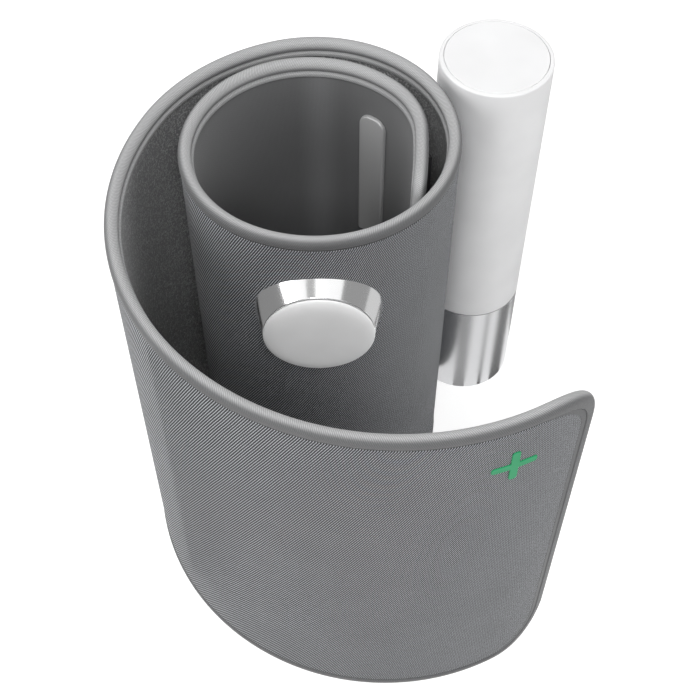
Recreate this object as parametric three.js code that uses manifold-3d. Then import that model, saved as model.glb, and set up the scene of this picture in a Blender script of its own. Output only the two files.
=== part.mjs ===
// Upper-arm blood pressure monitor: a self-coiling fabric cuff with a tube-shaped monitor at its side.
// Units are millimetres, +Z is up, and the origin is the centre of the footprint on the table.
// The photographed side faces -Y.

import * as THREE from 'three';
import { mergeVertices } from 'three/addons/utils/BufferGeometryUtils.js';
import Module from 'manifold-3d';

const wasm = await Module();
wasm.setup();

// Overall sizes and shared clearances
const height = 161;              // cuff and tube are equally tall
const gap = 0.3;                 // between pieces that lie against each other
const chordSag = 0.27;           // how far a facet may fall inside the cuff's true curve

// Plan of the cuff: tangent arcs through the middle of its wall, radius in mm and sweep in degrees,
// from the inner end round the arm loop and out to the free end, anticlockwise seen from above
const innerEndRadius = 200;
const innerEndLength = 25;
const innerCornerRadius = 27.7;
const innerTipClearance = 0.8;   // between the inner end's tip and the next turn
const loopRadius = 38.1;
const loopSweep = 199.5;
const secondTurnStep = 5.1;      // how much wider the second turn is than the loop
const secondTurnSweep = 177.5;
const backStep = 1.3;            // how much wider the outer back is than the second turn
const backSweep = 47;
const sideStep = 19;             // how much wider the flap's side is than the outer back
const sideSweep = 46.8;
const frontStep = 20;            // how much wider the flap's front is than its side
const frontSweep = 141.5;
const freeEndRadius = 46;
const freeEndSweep = 29;
const loopStartHeading = 134.7;  // direction of travel where the loop's arc starts

// Layers of the cuff's wall
const fabricThickness = 0.6;
const stiffenerThickness = 0.7;
const bladderThickness = 0.6;
const liningThickness = 0.6;
const freeEndCorner = 22;        // corner radius of the free end, seen flat
const innerEndCorner = 4;

// Edge binding, a folded tape with a round back
const bindingDepth = 3.9;
const bindingWeb = 1.4;          // from the tape's round back to the bottom of its fold
const bindingProud = 0.3;        // how far the tape stands above the fabric

// Flex line where the flap swings out from the arm loop
const flexPastBack = 28;         // along the cuff, from the end of the outer back
const closingAngle = 12;         // degrees

// Air bladder
const bladderStart = 22;         // from the inner end's tip
const bladderLength = 232;
const bladderMargin = 15;        // from the cuff's top and bottom edges
const bladderCorner = 8;
const neckWidth = 12;
const neckTaper = 14;

// Electrode strip inside the loop
const electrodePastCorner = 6.5;   // from the start of the loop's arc to the strip's middle
const electrodeWidth = 10.7;
const electrodeTop = 144.5;
const electrodeLength = 56.2;
const electrodeThickness = 0.9;
const ribbonWidth = 4;
const ribbonThickness = 0.2;
const ribbonFromTop = 10;

// Hook pad inside the flap's end, and the plus mark outside it
const hookPadLength = 62;
const hookPadFromEnd = 14;
const hookPadMargin = 26;
const hookPadThickness = 0.8;
const markFromEnd = 30;
const markFromTop = 21;
const markSize = 13.7;
const markStroke = 2.3;
const markThickness = 0.45;

// Sensor head on the front of the loop
const sensorPastLoop = 20.7;     // from the end of the loop's arc to the head's middle
const sensorFromTop = 36.4;
const sensorStandOff = 7.1;      // from the fabric to the cap's face
const sensorBaseRadius = 20.1;
const sensorFootRadius = 20.6;
const sensorRimRadius = 17.4;
const sensorWall = 1.6;
const sensorFloor = 1.4;
const capThickness = 1.5;
const capEdgeRound = 1.1;
const capSpigotDepth = 1.1;
const capSpigotWall = 0.9;
const sensorBoardThickness = 1;
const microphoneRadius = 8;
const clampPlateRadius = 15.8;
const clampPlateThickness = 1.2;
const diaphragmRadius = 11;
const diaphragmThickness = 0.8;
const sensorScrewCircle = 13;
const sensorScrewCount = 3;
const screwRadius = 1;
const screwHeadRadius = 1.7;
const screwHeadHeight = 0.9;

// Tube
const tubeRadius = 18.9;
const tubeStandOff = 3.7;        // between the cuff's binding and the tube
const tubeBeforeBack = 22.9;     // along the cuff, from the tube's nearest point to the outer back
const tubeWall = 2.6;
const sleeveHeight = 47.9;
const sleeveThickness = 0.8;
const seamWidth = 0.3;
const topEdgeRound = 0.9;

// Power button in the tube's top
const buttonRim = 1.5;           // the tube's rim round the button
const buttonClearance = 0.25;
const buttonThickness = 2.4;
const buttonEdgeRound = 0.4;
const buttonTravel = 0.8;
const buttonStemRadius = 2.2;
const switchDepth = 14;          // from the tube's top to the switch board
const switchBoardInset = 1.5;    // from the tube's inner wall
const boardThickness = 1.2;
const domeRadius = 3;
const domeHeight = 0.9;

// Chassis and what it carries
const spineThickness = 1.6;
const shelfThickness = 1.6;
const batteryLength = 50;
const motorInset = 2.6;          // from the carrier's rim, across the pump motor
const motorLength = 20;
const motorShaftRadius = 0.8;
const motorShaftSeat = 4.5;
const pumpHeadLength = 12;
const rotorThickness = 2.4;
const rotorRadius = 2.6;
const rotorOffset = 1.1;
const pumpCavityDepth = 4.4;
const pumpCavityRadius = 4.6;
const manifoldLength = 8;
const valveRadius = 4;
const valveLength = 9;
const plungerRadius = 1.3;
const plungerTravel = 0.5;
const plungerLength = 6;
const mainBoardWidth = 24;
const mainBoardLength = 104;
const boardStandOff = 2.2;
const standOffInset = 12.5;      // from the main board's ends
const standOffSize = 4;
const chipHeight = 1.2;
const powerChipSize = 8;
const powerChipFromFoot = 20.8;  // from the main board's foot to the chip's middle
const radioChipSize = 6;
const radioChipFromFoot = 43.7;
const displayChipSize = 5;
const displayChipFromTop = 20.8;
const pressureSensorSize = 7;
const pressureSensorHeight = 3.4;
const pressureSensorFromTop = 39.5;
const pressureBarbRadius = 1.2;
const pressureBarbLength = 2.6;
const displayBoardWidth = 18;
const displayBoardLength = 34;

// End cap with the charging port
const endCapFlange = 1.7;
const endCapDepth = 5;
const portWidth = 8.4;
const portDepth = 3.2;
const portLength = 6.4;
const portWall = 0.5;
const portInset = 0.4;           // behind the end cap's face
const endScrewSpacing = 22;

// Saddle between the tube and the cuff
const saddleWidth = 12;
const saddleBottom = 56;
const saddleTop = 134;
const saddleScrewInset = 19;     // cuff screws, from the saddle's ends
const tubeScrewInset = 10;       // tube screws, from the saddle's ends
const saddlePlateThickness = 1.2;
const fittingRadius = 2;
const fittingBore = 1;
const fittingFlangeRadius = 3.4;
const fittingFlangeThickness = 1;

const round = 32;
const quarter = Math.PI / 2;

// Materials

function material(color, roughness, metalness = 0) {
  return new THREE.MeshStandardMaterial({ color, roughness, metalness });
}

const outerFabric = material(0x85888b, 0.95);
const liningFabric = material(0x4c4f52, 0.95);
const tape = material(0x96999b, 0.9);
const hookCloth = material(0x3f4245, 1);
const stiffSheet = material(0xc8cacb, 0.7);
const bladderFilm = material(0x3b4a5a, 0.5);
const greenMark = material(0x3ca369, 0.6);
const whitePlastic = material(0xf2f2f2, 0.45);
const lightGreyPlastic = material(0xc2c4c5, 0.5);
const darkPlastic = material(0x2e3033, 0.6);
const polishedMetal = material(0xd5d7d9, 0.12, 1);
const satinMetal = material(0x8d9092, 0.4, 1);
const steel = material(0xa9acae, 0.35, 1);
const boardGreen = material(0x1f5a3a, 0.6);
const cellWrap = material(0x2f6ea5, 0.5);
const rubber = material(0x26282a, 0.9);

// Geometry helpers

const model = new THREE.Group();

function place(name, geometry, look, parent = model) {
  const mesh = new THREE.Mesh(geometry, look);
  mesh.name = name;
  parent.add(mesh);
  return mesh;
}

function signedVolume(positions, faces) {
  const corner = (index) => new THREE.Vector3().fromArray(positions, 3 * index);
  let volume = 0;
  for (let i = 0; i < faces.length; i += 3) {
    const [a, b, c] = [corner(faces[i]), corner(faces[i + 1]), corner(faces[i + 2])];
    volume += a.dot(b.cross(c)) / 6;
  }
  return volume;
}

function outwardGeometry(positions, faces) {
  const inside = signedVolume(positions, faces) < 0;
  const geometry = new THREE.BufferGeometry();
  geometry.setAttribute('position', new THREE.Float32BufferAttribute(positions, 3));
  geometry.setIndex(inside ? [...faces].reverse() : faces);
  return geometry;
}

function toManifold(geometry) {
  const bare = geometry.clone();
  bare.deleteAttribute('normal');
  bare.deleteAttribute('uv');
  const merged = mergeVertices(bare, 1e-4);
  const vertProperties = new Float32Array(merged.attributes.position.array);
  const triVerts = new Uint32Array(merged.index.array);
  return new wasm.Manifold(new wasm.Mesh({ numProp: 3, vertProperties, triVerts }));
}

function fromManifold(solid) {
  const mesh = solid.getMesh();
  const geometry = new THREE.BufferGeometry();
  geometry.setAttribute('position', new THREE.BufferAttribute(mesh.vertProperties, 3));
  geometry.setIndex(new THREE.BufferAttribute(mesh.triVerts, 1));
  return geometry;
}

function cut(geometry, tools) {
  const solid = tools.reduce((body, tool) => body.subtract(toManifold(tool)), toManifold(geometry));
  return fromManifold(solid);
}

function join(geometries) {
  return fromManifold(geometries.map(toManifold).reduce((a, b) => a.add(b)));
}

function common(geometry, limit) {
  return fromManifold(toManifold(geometry).intersect(toManifold(limit)));
}

// A revolve about the Z axis, from [radius, z] points; it starts and ends on the axis or closes on itself
function revolve(points, segments = round) {
  const profile = points.map(([r, z]) => new THREE.Vector2(r, z));
  return new THREE.LatheGeometry(profile, segments).rotateX(quarter);
}

// A ring-shaped revolve whose profile closes on itself
function revolveRing(points, segments = round) {
  return revolve([...points, points[0]], segments);
}

function upright(radius, low, high, segments = 16) {
  const cylinder = new THREE.CylinderGeometry(radius, radius, high - low, segments);
  return cylinder.rotateX(quarter).translate(0, 0, (low + high) / 2);
}

// A box from its low and high corners
function box([x0, y0, z0], [x1, y1, z1]) {
  const block = new THREE.BoxGeometry(x1 - x0, y1 - y0, z1 - z0);
  return block.translate((x0 + x1) / 2, (y0 + y1) / 2, (z0 + z1) / 2);
}

// Quarter-round points of [radius, z] for an edge between a side wall and a top face
function edgeRound(radius, top, size, steps = 2) {
  return Array.from({ length: steps + 1 }, (_, i) => {
    const angle = (quarter * i) / steps;
    return [radius - size + size * Math.cos(angle), top - size + size * Math.sin(angle)];
  });
}

// The cuff's plan curve

const turn = THREE.MathUtils.degToRad;
const secondTurnRadius = loopRadius + secondTurnStep;
const backRadius = secondTurnRadius + backStep;
const sideRadius = backRadius + sideStep;
const frontRadius = sideRadius + frontStep;

// Follows an arc from a pose { x, y, heading }, anticlockwise for a positive length
function follow({ x, y, heading }, radius, length) {
  const next = heading + length / radius;
  return {
    x: x + radius * (Math.sin(next) - Math.sin(heading)),
    y: y - radius * (Math.cos(next) - Math.cos(heading)),
    heading: next,
  };
}

function followAll(pose, arcs) {
  return arcs.reduce((at, { radius, sweep }) => follow(at, radius, radius * sweep), pose);
}

const loopStart = { x: 0, y: 0, heading: turn(loopStartHeading) };
const outerArcs = [
  { radius: loopRadius, sweep: turn(loopSweep) },
  { radius: secondTurnRadius, sweep: turn(secondTurnSweep) },
  { radius: backRadius, sweep: turn(backSweep) },
  { radius: sideRadius, sweep: turn(sideSweep) },
  { radius: frontRadius, sweep: turn(frontSweep) },
  { radius: freeEndRadius, sweep: turn(freeEndSweep) },
];

const panelThickness = fabricThickness + stiffenerThickness + bladderThickness + liningThickness + 3 * gap;
const halfPanel = panelThickness / 2;
const halfBinding = halfPanel + bindingProud;

// Least distance from a point to the middle of the second turn
function distanceToSecondTurn({ x, y }) {
  const { radius } = outerArcs[1];
  const start = followAll(loopStart, outerArcs.slice(0, 1));
  const centreX = start.x - radius * Math.sin(start.heading);
  const centreY = start.y + radius * Math.cos(start.heading);
  return radius - Math.hypot(x - centreX, y - centreY);
}

// The inner end runs back from the loop, and its corner turns until the tip lies against the next turn
function innerTip(cornerSweep) {
  const corner = follow(loopStart, innerCornerRadius, -innerCornerRadius * cornerSweep);
  return follow(corner, innerEndRadius, -innerEndLength);
}

function solveCornerSweep() {
  const wanted = 2 * halfBinding + innerTipClearance;
  let [low, high] = [turn(5), turn(120)];
  for (let i = 0; i < 40; i += 1) {
    const middle = (low + high) / 2;
    if (distanceToSecondTurn(innerTip(middle)) < wanted) low = middle;
    else high = middle;
  }
  return high;
}

const innerCornerSweep = solveCornerSweep();
const cuffStart = innerTip(innerCornerSweep);
const cuffArcs = [
  { radius: innerEndRadius, sweep: innerEndLength / innerEndRadius },
  { radius: innerCornerRadius, sweep: innerCornerSweep },
  ...outerArcs,
];

// Distance along the cuff at which each arc starts, and the cuff's whole length
const arcStarts = [0];
cuffArcs.forEach(({ radius, sweep }, i) => arcStarts.push(arcStarts[i] + radius * sweep));
const cuffLength = arcStarts[cuffArcs.length];
const loopStation = arcStarts[2];
const secondTurnStation = arcStarts[3];
const backStation = arcStarts[4];
const sideStation = arcStarts[5];

function poseAt(station) {
  let pose = cuffStart;
  const last = cuffArcs.length - 1;
  for (let i = 0; i <= last; i += 1) {
    const { radius, sweep } = cuffArcs[i];
    const left = station - arcStarts[i];
    if (left <= radius * sweep || i === last) return follow(pose, radius, left);
    pose = follow(pose, radius, radius * sweep);
  }
  return pose;
}

// A point at a distance along the cuff, a depth out from the middle of its wall, and a height
function onCuff(station, depth, z = 0) {
  const { x, y, heading } = poseAt(station);
  return new THREE.Vector3(x + depth * Math.sin(heading), y - depth * Math.cos(heading), z);
}

// A frame on the cuff: X runs along it, Y is up and Z points outward
function frameOnCuff(station, z) {
  const { heading } = poseAt(station);
  const along = new THREE.Vector3(Math.cos(heading), Math.sin(heading), 0);
  const outward = new THREE.Vector3(Math.sin(heading), -Math.cos(heading), 0);
  const frame = new THREE.Matrix4().makeBasis(along, new THREE.Vector3(0, 0, 1), outward);
  return frame.setPosition(onCuff(station, 0, z));
}

function placedOnCuff(geometry, station, z) {
  return geometry.clone().applyMatrix4(frameOnCuff(station, z));
}

// Stations between two ends, close enough to keep the facets within the chord sag
function stationsBetween(from, to) {
  const closest = 1.2;
  const inner = cuffArcs.flatMap(({ radius, sweep }, i) => {
    const steps = Math.ceil(sweep / (2 * Math.acos(1 - chordSag / radius)));
    return Array.from({ length: steps }, (_, k) => arcStarts[i] + (radius * sweep * (k + 1)) / steps);
  });
  return [from, ...inner.filter((s) => s > from + closest && s < to - closest), to];
}

// A solid swept through rings of [station, depth, z] corners; the section is the ring's outline
// in its own plane, anticlockwise, and closes the two ends
function sweepOnCuff(rings, section) {
  const count = section.length;
  const positions = rings.flat().flatMap(([station, depth, z]) => onCuff(station, depth, z).toArray());
  const faces = [];
  for (let i = 0; i + 1 < rings.length; i += 1) {
    for (let j = 0; j < count; j += 1) {
      const a = i * count + j;
      const b = i * count + ((j + 1) % count);
      faces.push(a, b, b + count, a, b + count, a + count);
    }
  }
  const last = (rings.length - 1) * count;
  THREE.ShapeUtils.triangulateShape(section, []).forEach(([a, b, c]) => {
    faces.push(c, b, a, last + a, last + b, last + c);
  });
  return outwardGeometry(positions, faces);
}

const slabSection = [[0, 0], [1, 0], [1, 1], [0, 1]].map(([u, v]) => new THREE.Vector2(u, v));

// One ring of a slab between two depths and two heights
function slabRing(station, [inner, outer], [low, high]) {
  const stationAt = typeof station === 'function' ? station : () => station;
  return [[inner, low], [outer, low], [outer, high], [inner, high]].map(([depth, z]) => [
    stationAt(depth), depth, z]);
}

// A curved slab that follows the cuff between two stations
function slabOnCuff(from, to, depths, heights) {
  return sweepOnCuff(stationsBetween(from, to).map((s) => slabRing(s, depths, heights)), slabSection);
}

// The cuff's two parts: the arm loop and the flap, parted along a V-shaped flex line
// that is narrow at the outside and opens inward, so that the flap can also close a little

const flexStation = sideStation + flexPastBack;

function flexEdge(part, depth) {
  const half = gap / 2 + (halfBinding - depth) * Math.tan(turn(closingAngle / 2 + 1));
  return part === 'loop' ? flexStation - half : flexStation + half;
}

// Stops along a part's outline from its round-cornered end to the flex line: the station, the lift
// of the outline above the bottom edge, and the direction to the inside as [along, up]
function outlineStops(part, inset) {
  const corner = part === 'loop' ? innerEndCorner : freeEndCorner;
  const radius = Math.max(corner - inset, 0.5);
  const steps = part === 'loop' ? 3 : 5;
  const stops = [];
  for (let i = 0; i <= steps; i += 1) {
    const angle = (quarter * i) / steps;
    const along = inset + radius * (1 - Math.cos(angle));
    const lift = inset + radius * (1 - Math.sin(angle));
    stops.push({ along, lift, inward: [Math.cos(angle), Math.sin(angle)] });
  }
  const far = part === 'loop' ? flexStation : cuffLength - flexStation;
  const straight = part === 'loop'
    ? stationsBetween(inset + radius, far)
    : stationsBetween(flexStation, cuffLength - inset - radius).map((s) => cuffLength - s).reverse();
  straight.slice(1, -1).forEach((along) => stops.push({ along, lift: inset, inward: [0, 1] }));
  stops.push({ along: far, lift: inset, inward: [0, 1], flex: true });
  return stops;
}

function stopStation(part, stop, depth) {
  if (stop.flex) return flexEdge(part, depth);
  return part === 'loop' ? stop.along : cuffLength - stop.along;
}

// One layer of the cuff's wall, with its edge an inset in from the cuff's own edge
function layer(part, depths, inset) {
  const rings = outlineStops(part, inset).map((stop) =>
    slabRing((depth) => stopStation(part, stop, depth), depths, [stop.lift, height - stop.lift]));
  return sweepOnCuff(rings, slabSection);
}

// Depths of the layers, outward from the middle of the wall
const fabricDepths = [halfPanel - fabricThickness, halfPanel];
const stiffenerDepths = [fabricDepths[0] - gap - stiffenerThickness, fabricDepths[0] - gap];
const bladderDepths = [stiffenerDepths[0] - gap - bladderThickness, stiffenerDepths[0] - gap];
const liningDepths = [-halfPanel, -halfPanel + liningThickness];
const flapStiffenerDepths = [bladderDepths[0], stiffenerDepths[1]];
const outsideDepth = halfPanel + gap;
const insideDepth = -halfPanel - gap;

// The binding's folded section as [depth into the cuff, depth through the wall], anticlockwise
const bindingSection = (() => {
  const h = halfBinding;
  const back = [90, 45, 0, -45, -90].map((degrees) => {
    const angle = turn(degrees);
    return [h - h * Math.cos(angle), h * Math.sin(angle)];
  });
  const fold = [
    [bindingDepth, -h], [bindingDepth, liningDepths[1]], [bindingWeb, liningDepths[1]],
    [bindingWeb, fabricDepths[0]], [bindingDepth, fabricDepths[0]], [bindingDepth, h]];
  return [...back, ...fold];
})();

function bindingRing(part, stop, top) {
  const [alongIn, upIn] = stop.inward;
  const toStation = part === 'loop' ? 1 : -1;
  return bindingSection.map(([into, depth]) => {
    const lift = stop.lift + into * upIn;
    const station = stopStation(part, stop, depth) + (stop.flex ? 0 : toStation * into * alongIn);
    return [station, depth, top ? height - lift : lift];
  });
}

// The tape round a part's edge, from the flex line along the bottom, up the end and back along the top
function binding(part) {
  const stops = outlineStops(part, 0);
  const bottom = [...stops].reverse().map((stop) => bindingRing(part, stop, false));
  const top = stops.map((stop) => bindingRing(part, stop, true));
  const section = bindingSection.map(([u, v]) => new THREE.Vector2(u, v));
  return sweepOnCuff([...bottom, ...top], section);
}

// Places on the cuff

const electrodeStation = loopStation + electrodePastCorner;
const sensorStation = secondTurnStation + sensorPastLoop;
const sensorHeight = height - sensorFromTop;
const tubeStation = backStation - tubeBeforeBack;
const saddleScrewHeights = [saddleBottom + saddleScrewInset, saddleTop - saddleScrewInset];
const tubeScrewHeights = [saddleBottom + tubeScrewInset, saddleTop - tubeScrewInset];
const tubeAxisDepth = halfBinding + tubeStandOff + tubeRadius;

const sensorScrewAngles = Array.from({ length: sensorScrewCount }, (_, i) =>
  quarter + (2 * Math.PI * i) / sensorScrewCount);
const sensorScrewPlaces = sensorScrewAngles.map((angle) => [
  sensorScrewCircle * Math.cos(angle), sensorScrewCircle * Math.sin(angle)]);

// Tools that bore through the wall at the sensor head and at the saddle
function sensorBore(radius, [x, y] = [0, 0], segments = 16) {
  const tool = upright(radius, -3 * halfBinding, 3 * halfBinding, segments).translate(x, y, 0);
  return placedOnCuff(tool, sensorStation, sensorHeight);
}

function wallBore(radius, station, z, segments = 8) {
  return placedOnCuff(upright(radius, -3 * halfBinding, 3 * halfBinding, segments), station, z);
}

// Inside the tube, across: the carrier's half holds the battery, and the pump lies nearer its spine
const tubeInnerRadius = tubeRadius - tubeWall;
const buttonRadius = tubeRadius - buttonRim - buttonClearance;
const switchBoardRadius = tubeInnerRadius - switchBoardInset;
const carrierRadius = tubeInnerRadius - gap;
const halfCarrier = (carrierRadius - spineThickness / 2 - gap) / 2;
const batteryRadius = halfCarrier - gap;
const motorRadius = halfCarrier - motorInset / 2;

// Chassis layout inside the tube, from the bottom up, in the tube's own frame
const baseShelf = endCapDepth + gap;
const portTop = portInset + portLength;
const batteryBottom = Math.max(baseShelf + shelfThickness, portTop) + gap;
const middleShelf = batteryBottom + batteryLength + gap;
const motorBottom = middleShelf + shelfThickness + gap;
const motorTop = motorBottom + motorLength;
const pumpHeadBottom = motorTop + gap;
const manifoldBottom = pumpHeadBottom + pumpHeadLength + gap;
const fittingHeight = manifoldBottom + manifoldLength / 2;
const valveBottom = manifoldBottom + manifoldLength + gap;
const valveTop = valveBottom + valveLength;
const topShelf = height - switchDepth - gap - shelfThickness;
const trainX = -(spineThickness / 2 + gap + motorRadius);

const sensorCutters = [
  sensorBore(microphoneRadius + gap, [0, 0], 20),
  ...sensorScrewPlaces.map((at) => sensorBore(screwRadius + gap, at, 8)),
];
const saddleCutters = saddleScrewHeights.map((z) => wallBore(screwRadius + gap, tubeStation, z));
const fittingCutter = wallBore(fittingRadius + gap, tubeStation, fittingHeight, 12);

// Cuff pieces

function buildOuterFabric() {
  const tools = [...sensorCutters, ...saddleCutters, fittingCutter];
  place('outer_fabric_loop', cut(layer('loop', fabricDepths, bindingDepth + gap), tools), outerFabric);
  place('outer_fabric_flap', layer('flap', fabricDepths, bindingDepth + gap), outerFabric);
}

function buildStiffener() {
  const tools = [...sensorCutters, ...saddleCutters, fittingCutter];
  place('stiffener_loop', cut(layer('loop', stiffenerDepths, bindingWeb + gap), tools), stiffSheet);
  place('stiffener_flap', layer('flap', flapStiffenerDepths, bindingWeb + gap), stiffSheet);
}

function buildLining() {
  const tools = [...sensorCutters, ...saddleCutters];
  place('lining_loop', cut(layer('loop', liningDepths, bindingDepth + gap), tools), liningFabric);
  place('lining_flap', layer('flap', liningDepths, bindingDepth + gap), liningFabric);
}

function buildBinding() {
  place('edge_binding_loop', binding('loop'), tape);
  place('edge_binding_flap', binding('flap'), tape);
}

// The bladder is a flat bag with round corners that narrows to a neck at the air fitting
function buildBladder() {
  const bladderEnd = bladderStart + bladderLength;
  const neckEnd = tubeStation + neckWidth / 2;
  const low = bladderMargin;
  const high = height - bladderMargin;
  const ring = (station, bottom, top) => slabRing(station, bladderDepths, [bottom, top]);
  const cornerRings = [0, 1, 2].map((i) => {
    const angle = (quarter * i) / 3;
    const along = bladderCorner * (1 - Math.cos(angle));
    const lift = bladderCorner * (1 - Math.sin(angle));
    return ring(bladderStart + along, low + lift, high - lift);
  });
  const body = stationsBetween(bladderStart + bladderCorner, bladderEnd).map((s) => ring(s, low, high));
  const neckLow = fittingHeight - neckWidth / 2;
  const taper = stationsBetween(bladderEnd, bladderEnd + neckTaper).slice(1, -1).map((s) => {
    const share = (s - bladderEnd) / neckTaper;
    return ring(s, low + share * (neckLow - low), high + share * (neckLow + neckWidth - high));
  });
  const neck = stationsBetween(bladderEnd + neckTaper, neckEnd).map((s) => ring(s, neckLow, neckLow + neckWidth));
  const bag = sweepOnCuff([...cornerRings, ...body, ...taper, ...neck], slabSection);
  const opening = sensorBore(sensorScrewCircle + screwHeadRadius + 1, [0, 0], 24);
  place('air_bladder', cut(bag, [opening]), bladderFilm);
}

// A strip with a round top and a straight foot, raised on the lining
function buildElectrode() {
  const radius = electrodeWidth / 2;
  const depths = [insideDepth - electrodeThickness, insideDepth];
  const rings = [-90, -58, -28, 0, 28, 58, 90].map((degrees) => {
    const angle = turn(degrees);
    const top = electrodeTop - radius + radius * Math.cos(angle);
    return slabRing(electrodeStation + radius * Math.sin(angle), depths, [
      electrodeTop - electrodeLength, top]);
  });
  place('electrode_strip', sweepOnCuff(rings, slabSection), satinMetal);
}

// The flat lead in the wall runs above the bladder from the electrode and drops beside the saddle
function buildRibbon() {
  const depths = [bladderDepths[1] - ribbonThickness, bladderDepths[1]];
  const high = height - ribbonFromTop;
  const dropFrom = tubeStation + neckWidth / 2 + gap;
  const dropTo = dropFrom + ribbonWidth;
  const along = [...stationsBetween(electrodeStation, dropFrom), dropTo];
  const run = sweepOnCuff(along.map((s) => slabRing(s, depths, [high - ribbonWidth, high])), slabSection);
  const drop = sweepOnCuff([dropFrom, dropTo].map((s) => slabRing(s, depths, [fittingHeight, high])), slabSection);
  place('signal_ribbon', join([run, drop]), satinMetal);
}

function buildFlapTrim() {
  const padEnd = cuffLength - hookPadFromEnd;
  const padDepths = [insideDepth - hookPadThickness, insideDepth];
  const padHeights = [hookPadMargin, height - hookPadMargin];
  place('hook_pad', slabOnCuff(padEnd - hookPadLength, padEnd, padDepths, padHeights), hookCloth);

  const middle = cuffLength - markFromEnd;
  const level = height - markFromTop;
  const half = markSize / 2;
  const stroke = markStroke / 2;
  const depths = [outsideDepth, outsideDepth + markThickness];
  const stops = [-half, -half / 2, -stroke, stroke, half / 2, half];
  const bar = stops.map((s) => slabRing(middle + s, depths, [level - stroke, level + stroke]));
  const post = [-stroke, stroke].map((s) => slabRing(middle + s, depths, [level - half, level + half]));
  place('plus_mark', join([sweepOnCuff(bar, slabSection), sweepOnCuff(post, slabSection)]), greenMark);
}

// Sensor head, in a frame whose Z points out of the cuff

const sensorFace = halfPanel + sensorStandOff;
const ringFront = sensorFace - capThickness - gap;
const floorFront = outsideDepth + sensorFloor;
const cavityRadius = sensorRimRadius - sensorWall;

// A block that fills the cuff's wall, with its clearance, under the sensor head
function wallUnderSensor(depths) {
  const reach = 1.4 * sensorFootRadius;
  return slabOnCuff(sensorStation - reach, sensorStation + reach, depths, [
    sensorHeight - reach, sensorHeight + reach]);
}

function buildSensorRing() {
  const foot = outsideDepth - 5;
  const shell = revolve([
    [0, foot], [sensorFootRadius, foot], [sensorBaseRadius, outsideDepth],
    [sensorRimRadius, ringFront], [cavityRadius, ringFront], [cavityRadius, floorFront], [0, floorFront]], 32);
  const seated = cut(placedOnCuff(shell, sensorStation, sensorHeight), [
    wallUnderSensor([-sensorFootRadius, outsideDepth]), ...sensorCutters]);
  place('sensor_ring', seated, polishedMetal);
}

function buildSensorCap() {
  const spigotRadius = cavityRadius - gap;
  const back = sensorFace - capThickness;
  const cap = revolve([
    [0, back], [spigotRadius - capSpigotWall, back], [spigotRadius - capSpigotWall, back - capSpigotDepth],
    [spigotRadius, back - capSpigotDepth], [spigotRadius, back], [sensorRimRadius, back],
    ...edgeRound(sensorRimRadius, sensorFace, capEdgeRound), [0, sensorFace]], 32);
  place('sensor_cap', placedOnCuff(cap, sensorStation, sensorHeight), lightGreyPlastic);
}

function buildSensorInside() {
  const boardBack = floorFront + gap;
  const board = upright(cavityRadius - gap - capSpigotWall, boardBack, boardBack + sensorBoardThickness, 24);
  place('sensor_board', placedOnCuff(board, sensorStation, sensorHeight), boardGreen);

  const capsule = upright(microphoneRadius, insideDepth - clampPlateThickness, floorFront, 24);
  place('sensor_microphone', placedOnCuff(capsule, sensorStation, sensorHeight), darkPlastic);

  const plateDepths = [insideDepth - clampPlateThickness, insideDepth];
  const reach = sensorFootRadius;
  const disc = placedOnCuff(upright(clampPlateRadius, -reach, reach, 24), sensorStation, sensorHeight);
  const plate = common(disc, wallUnderSensor(plateDepths));
  place('sensor_clamp_plate', cut(plate, sensorCutters), darkPlastic);

  const skin = placedOnCuff(upright(diaphragmRadius, -reach, reach, 24), sensorStation, sensorHeight);
  const skinFace = plateDepths[0] - gap;
  const diaphragm = common(skin, wallUnderSensor([skinFace - diaphragmThickness, skinFace]));
  place('sensor_diaphragm', diaphragm, rubber);
}

// A screw along Z with a domed head below the given seat
function screw(seat, tip) {
  return revolve([
    [0, seat - screwHeadHeight], [screwHeadRadius * 0.6, seat - screwHeadHeight],
    [screwHeadRadius, seat - screwHeadHeight / 2], [screwHeadRadius, seat], [screwRadius, seat],
    [screwRadius, tip], [0, tip]], 8);
}

// The inner face is hollow, so a screw that is off the head's middle sits deeper by the curve's fall
function buildSensorScrews() {
  const plateFace = insideDepth - clampPlateThickness;
  sensorScrewPlaces.forEach(([x, y], i) => {
    const reach = Math.abs(x) + screwHeadRadius;
    const seatRadius = secondTurnRadius + plateFace;
    const fall = seatRadius - Math.sqrt(seatRadius ** 2 - reach ** 2);
    const piece = screw(plateFace - fall - gap, floorFront - gap).translate(x, y, 0);
    place(`sensor_screw_${i + 1}`, placedOnCuff(piece, sensorStation, sensorHeight), steel);
  });
}

// Tube, in a frame on its own axis whose +X points away from the cuff

const tube = new THREE.Group();
const tubeAxis = onCuff(tubeStation, tubeAxisDepth);
tube.position.copy(tubeAxis);
tube.rotation.z = poseAt(tubeStation).heading - quarter;
model.add(tube);

function acrossTube(radius, x0, x1, z, segments = 12) {
  return upright(radius, x0, x1, segments).rotateY(quarter).translate(0, 0, z);
}

function buildHousing() {
  const step = sleeveHeight + seamWidth;
  const core = tubeRadius - sleeveThickness - gap;
  const boreRadius = buttonRadius + buttonClearance;
  const ledge = height - buttonThickness - buttonTravel - gap;
  const lipRound = Math.min(topEdgeRound, (tubeRadius - boreRadius) * 0.7);
  const shell = revolveRing([
    [tubeInnerRadius, endCapFlange + gap], [core, endCapFlange + gap], [core, step], [tubeRadius, step],
    ...edgeRound(tubeRadius, height, lipRound), [boreRadius, height], [boreRadius, ledge],
    [tubeInnerRadius, ledge]], 40);
  const bores = tubeScrewHeights.map((z) => acrossTube(screwRadius + gap, -2 * tubeRadius, 0, z));
  const airWay = acrossTube(fittingRadius + gap, -2 * tubeRadius, 0, fittingHeight);
  place('tube_housing', cut(shell, [...bores, airWay]), whitePlastic, tube);
}

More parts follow.
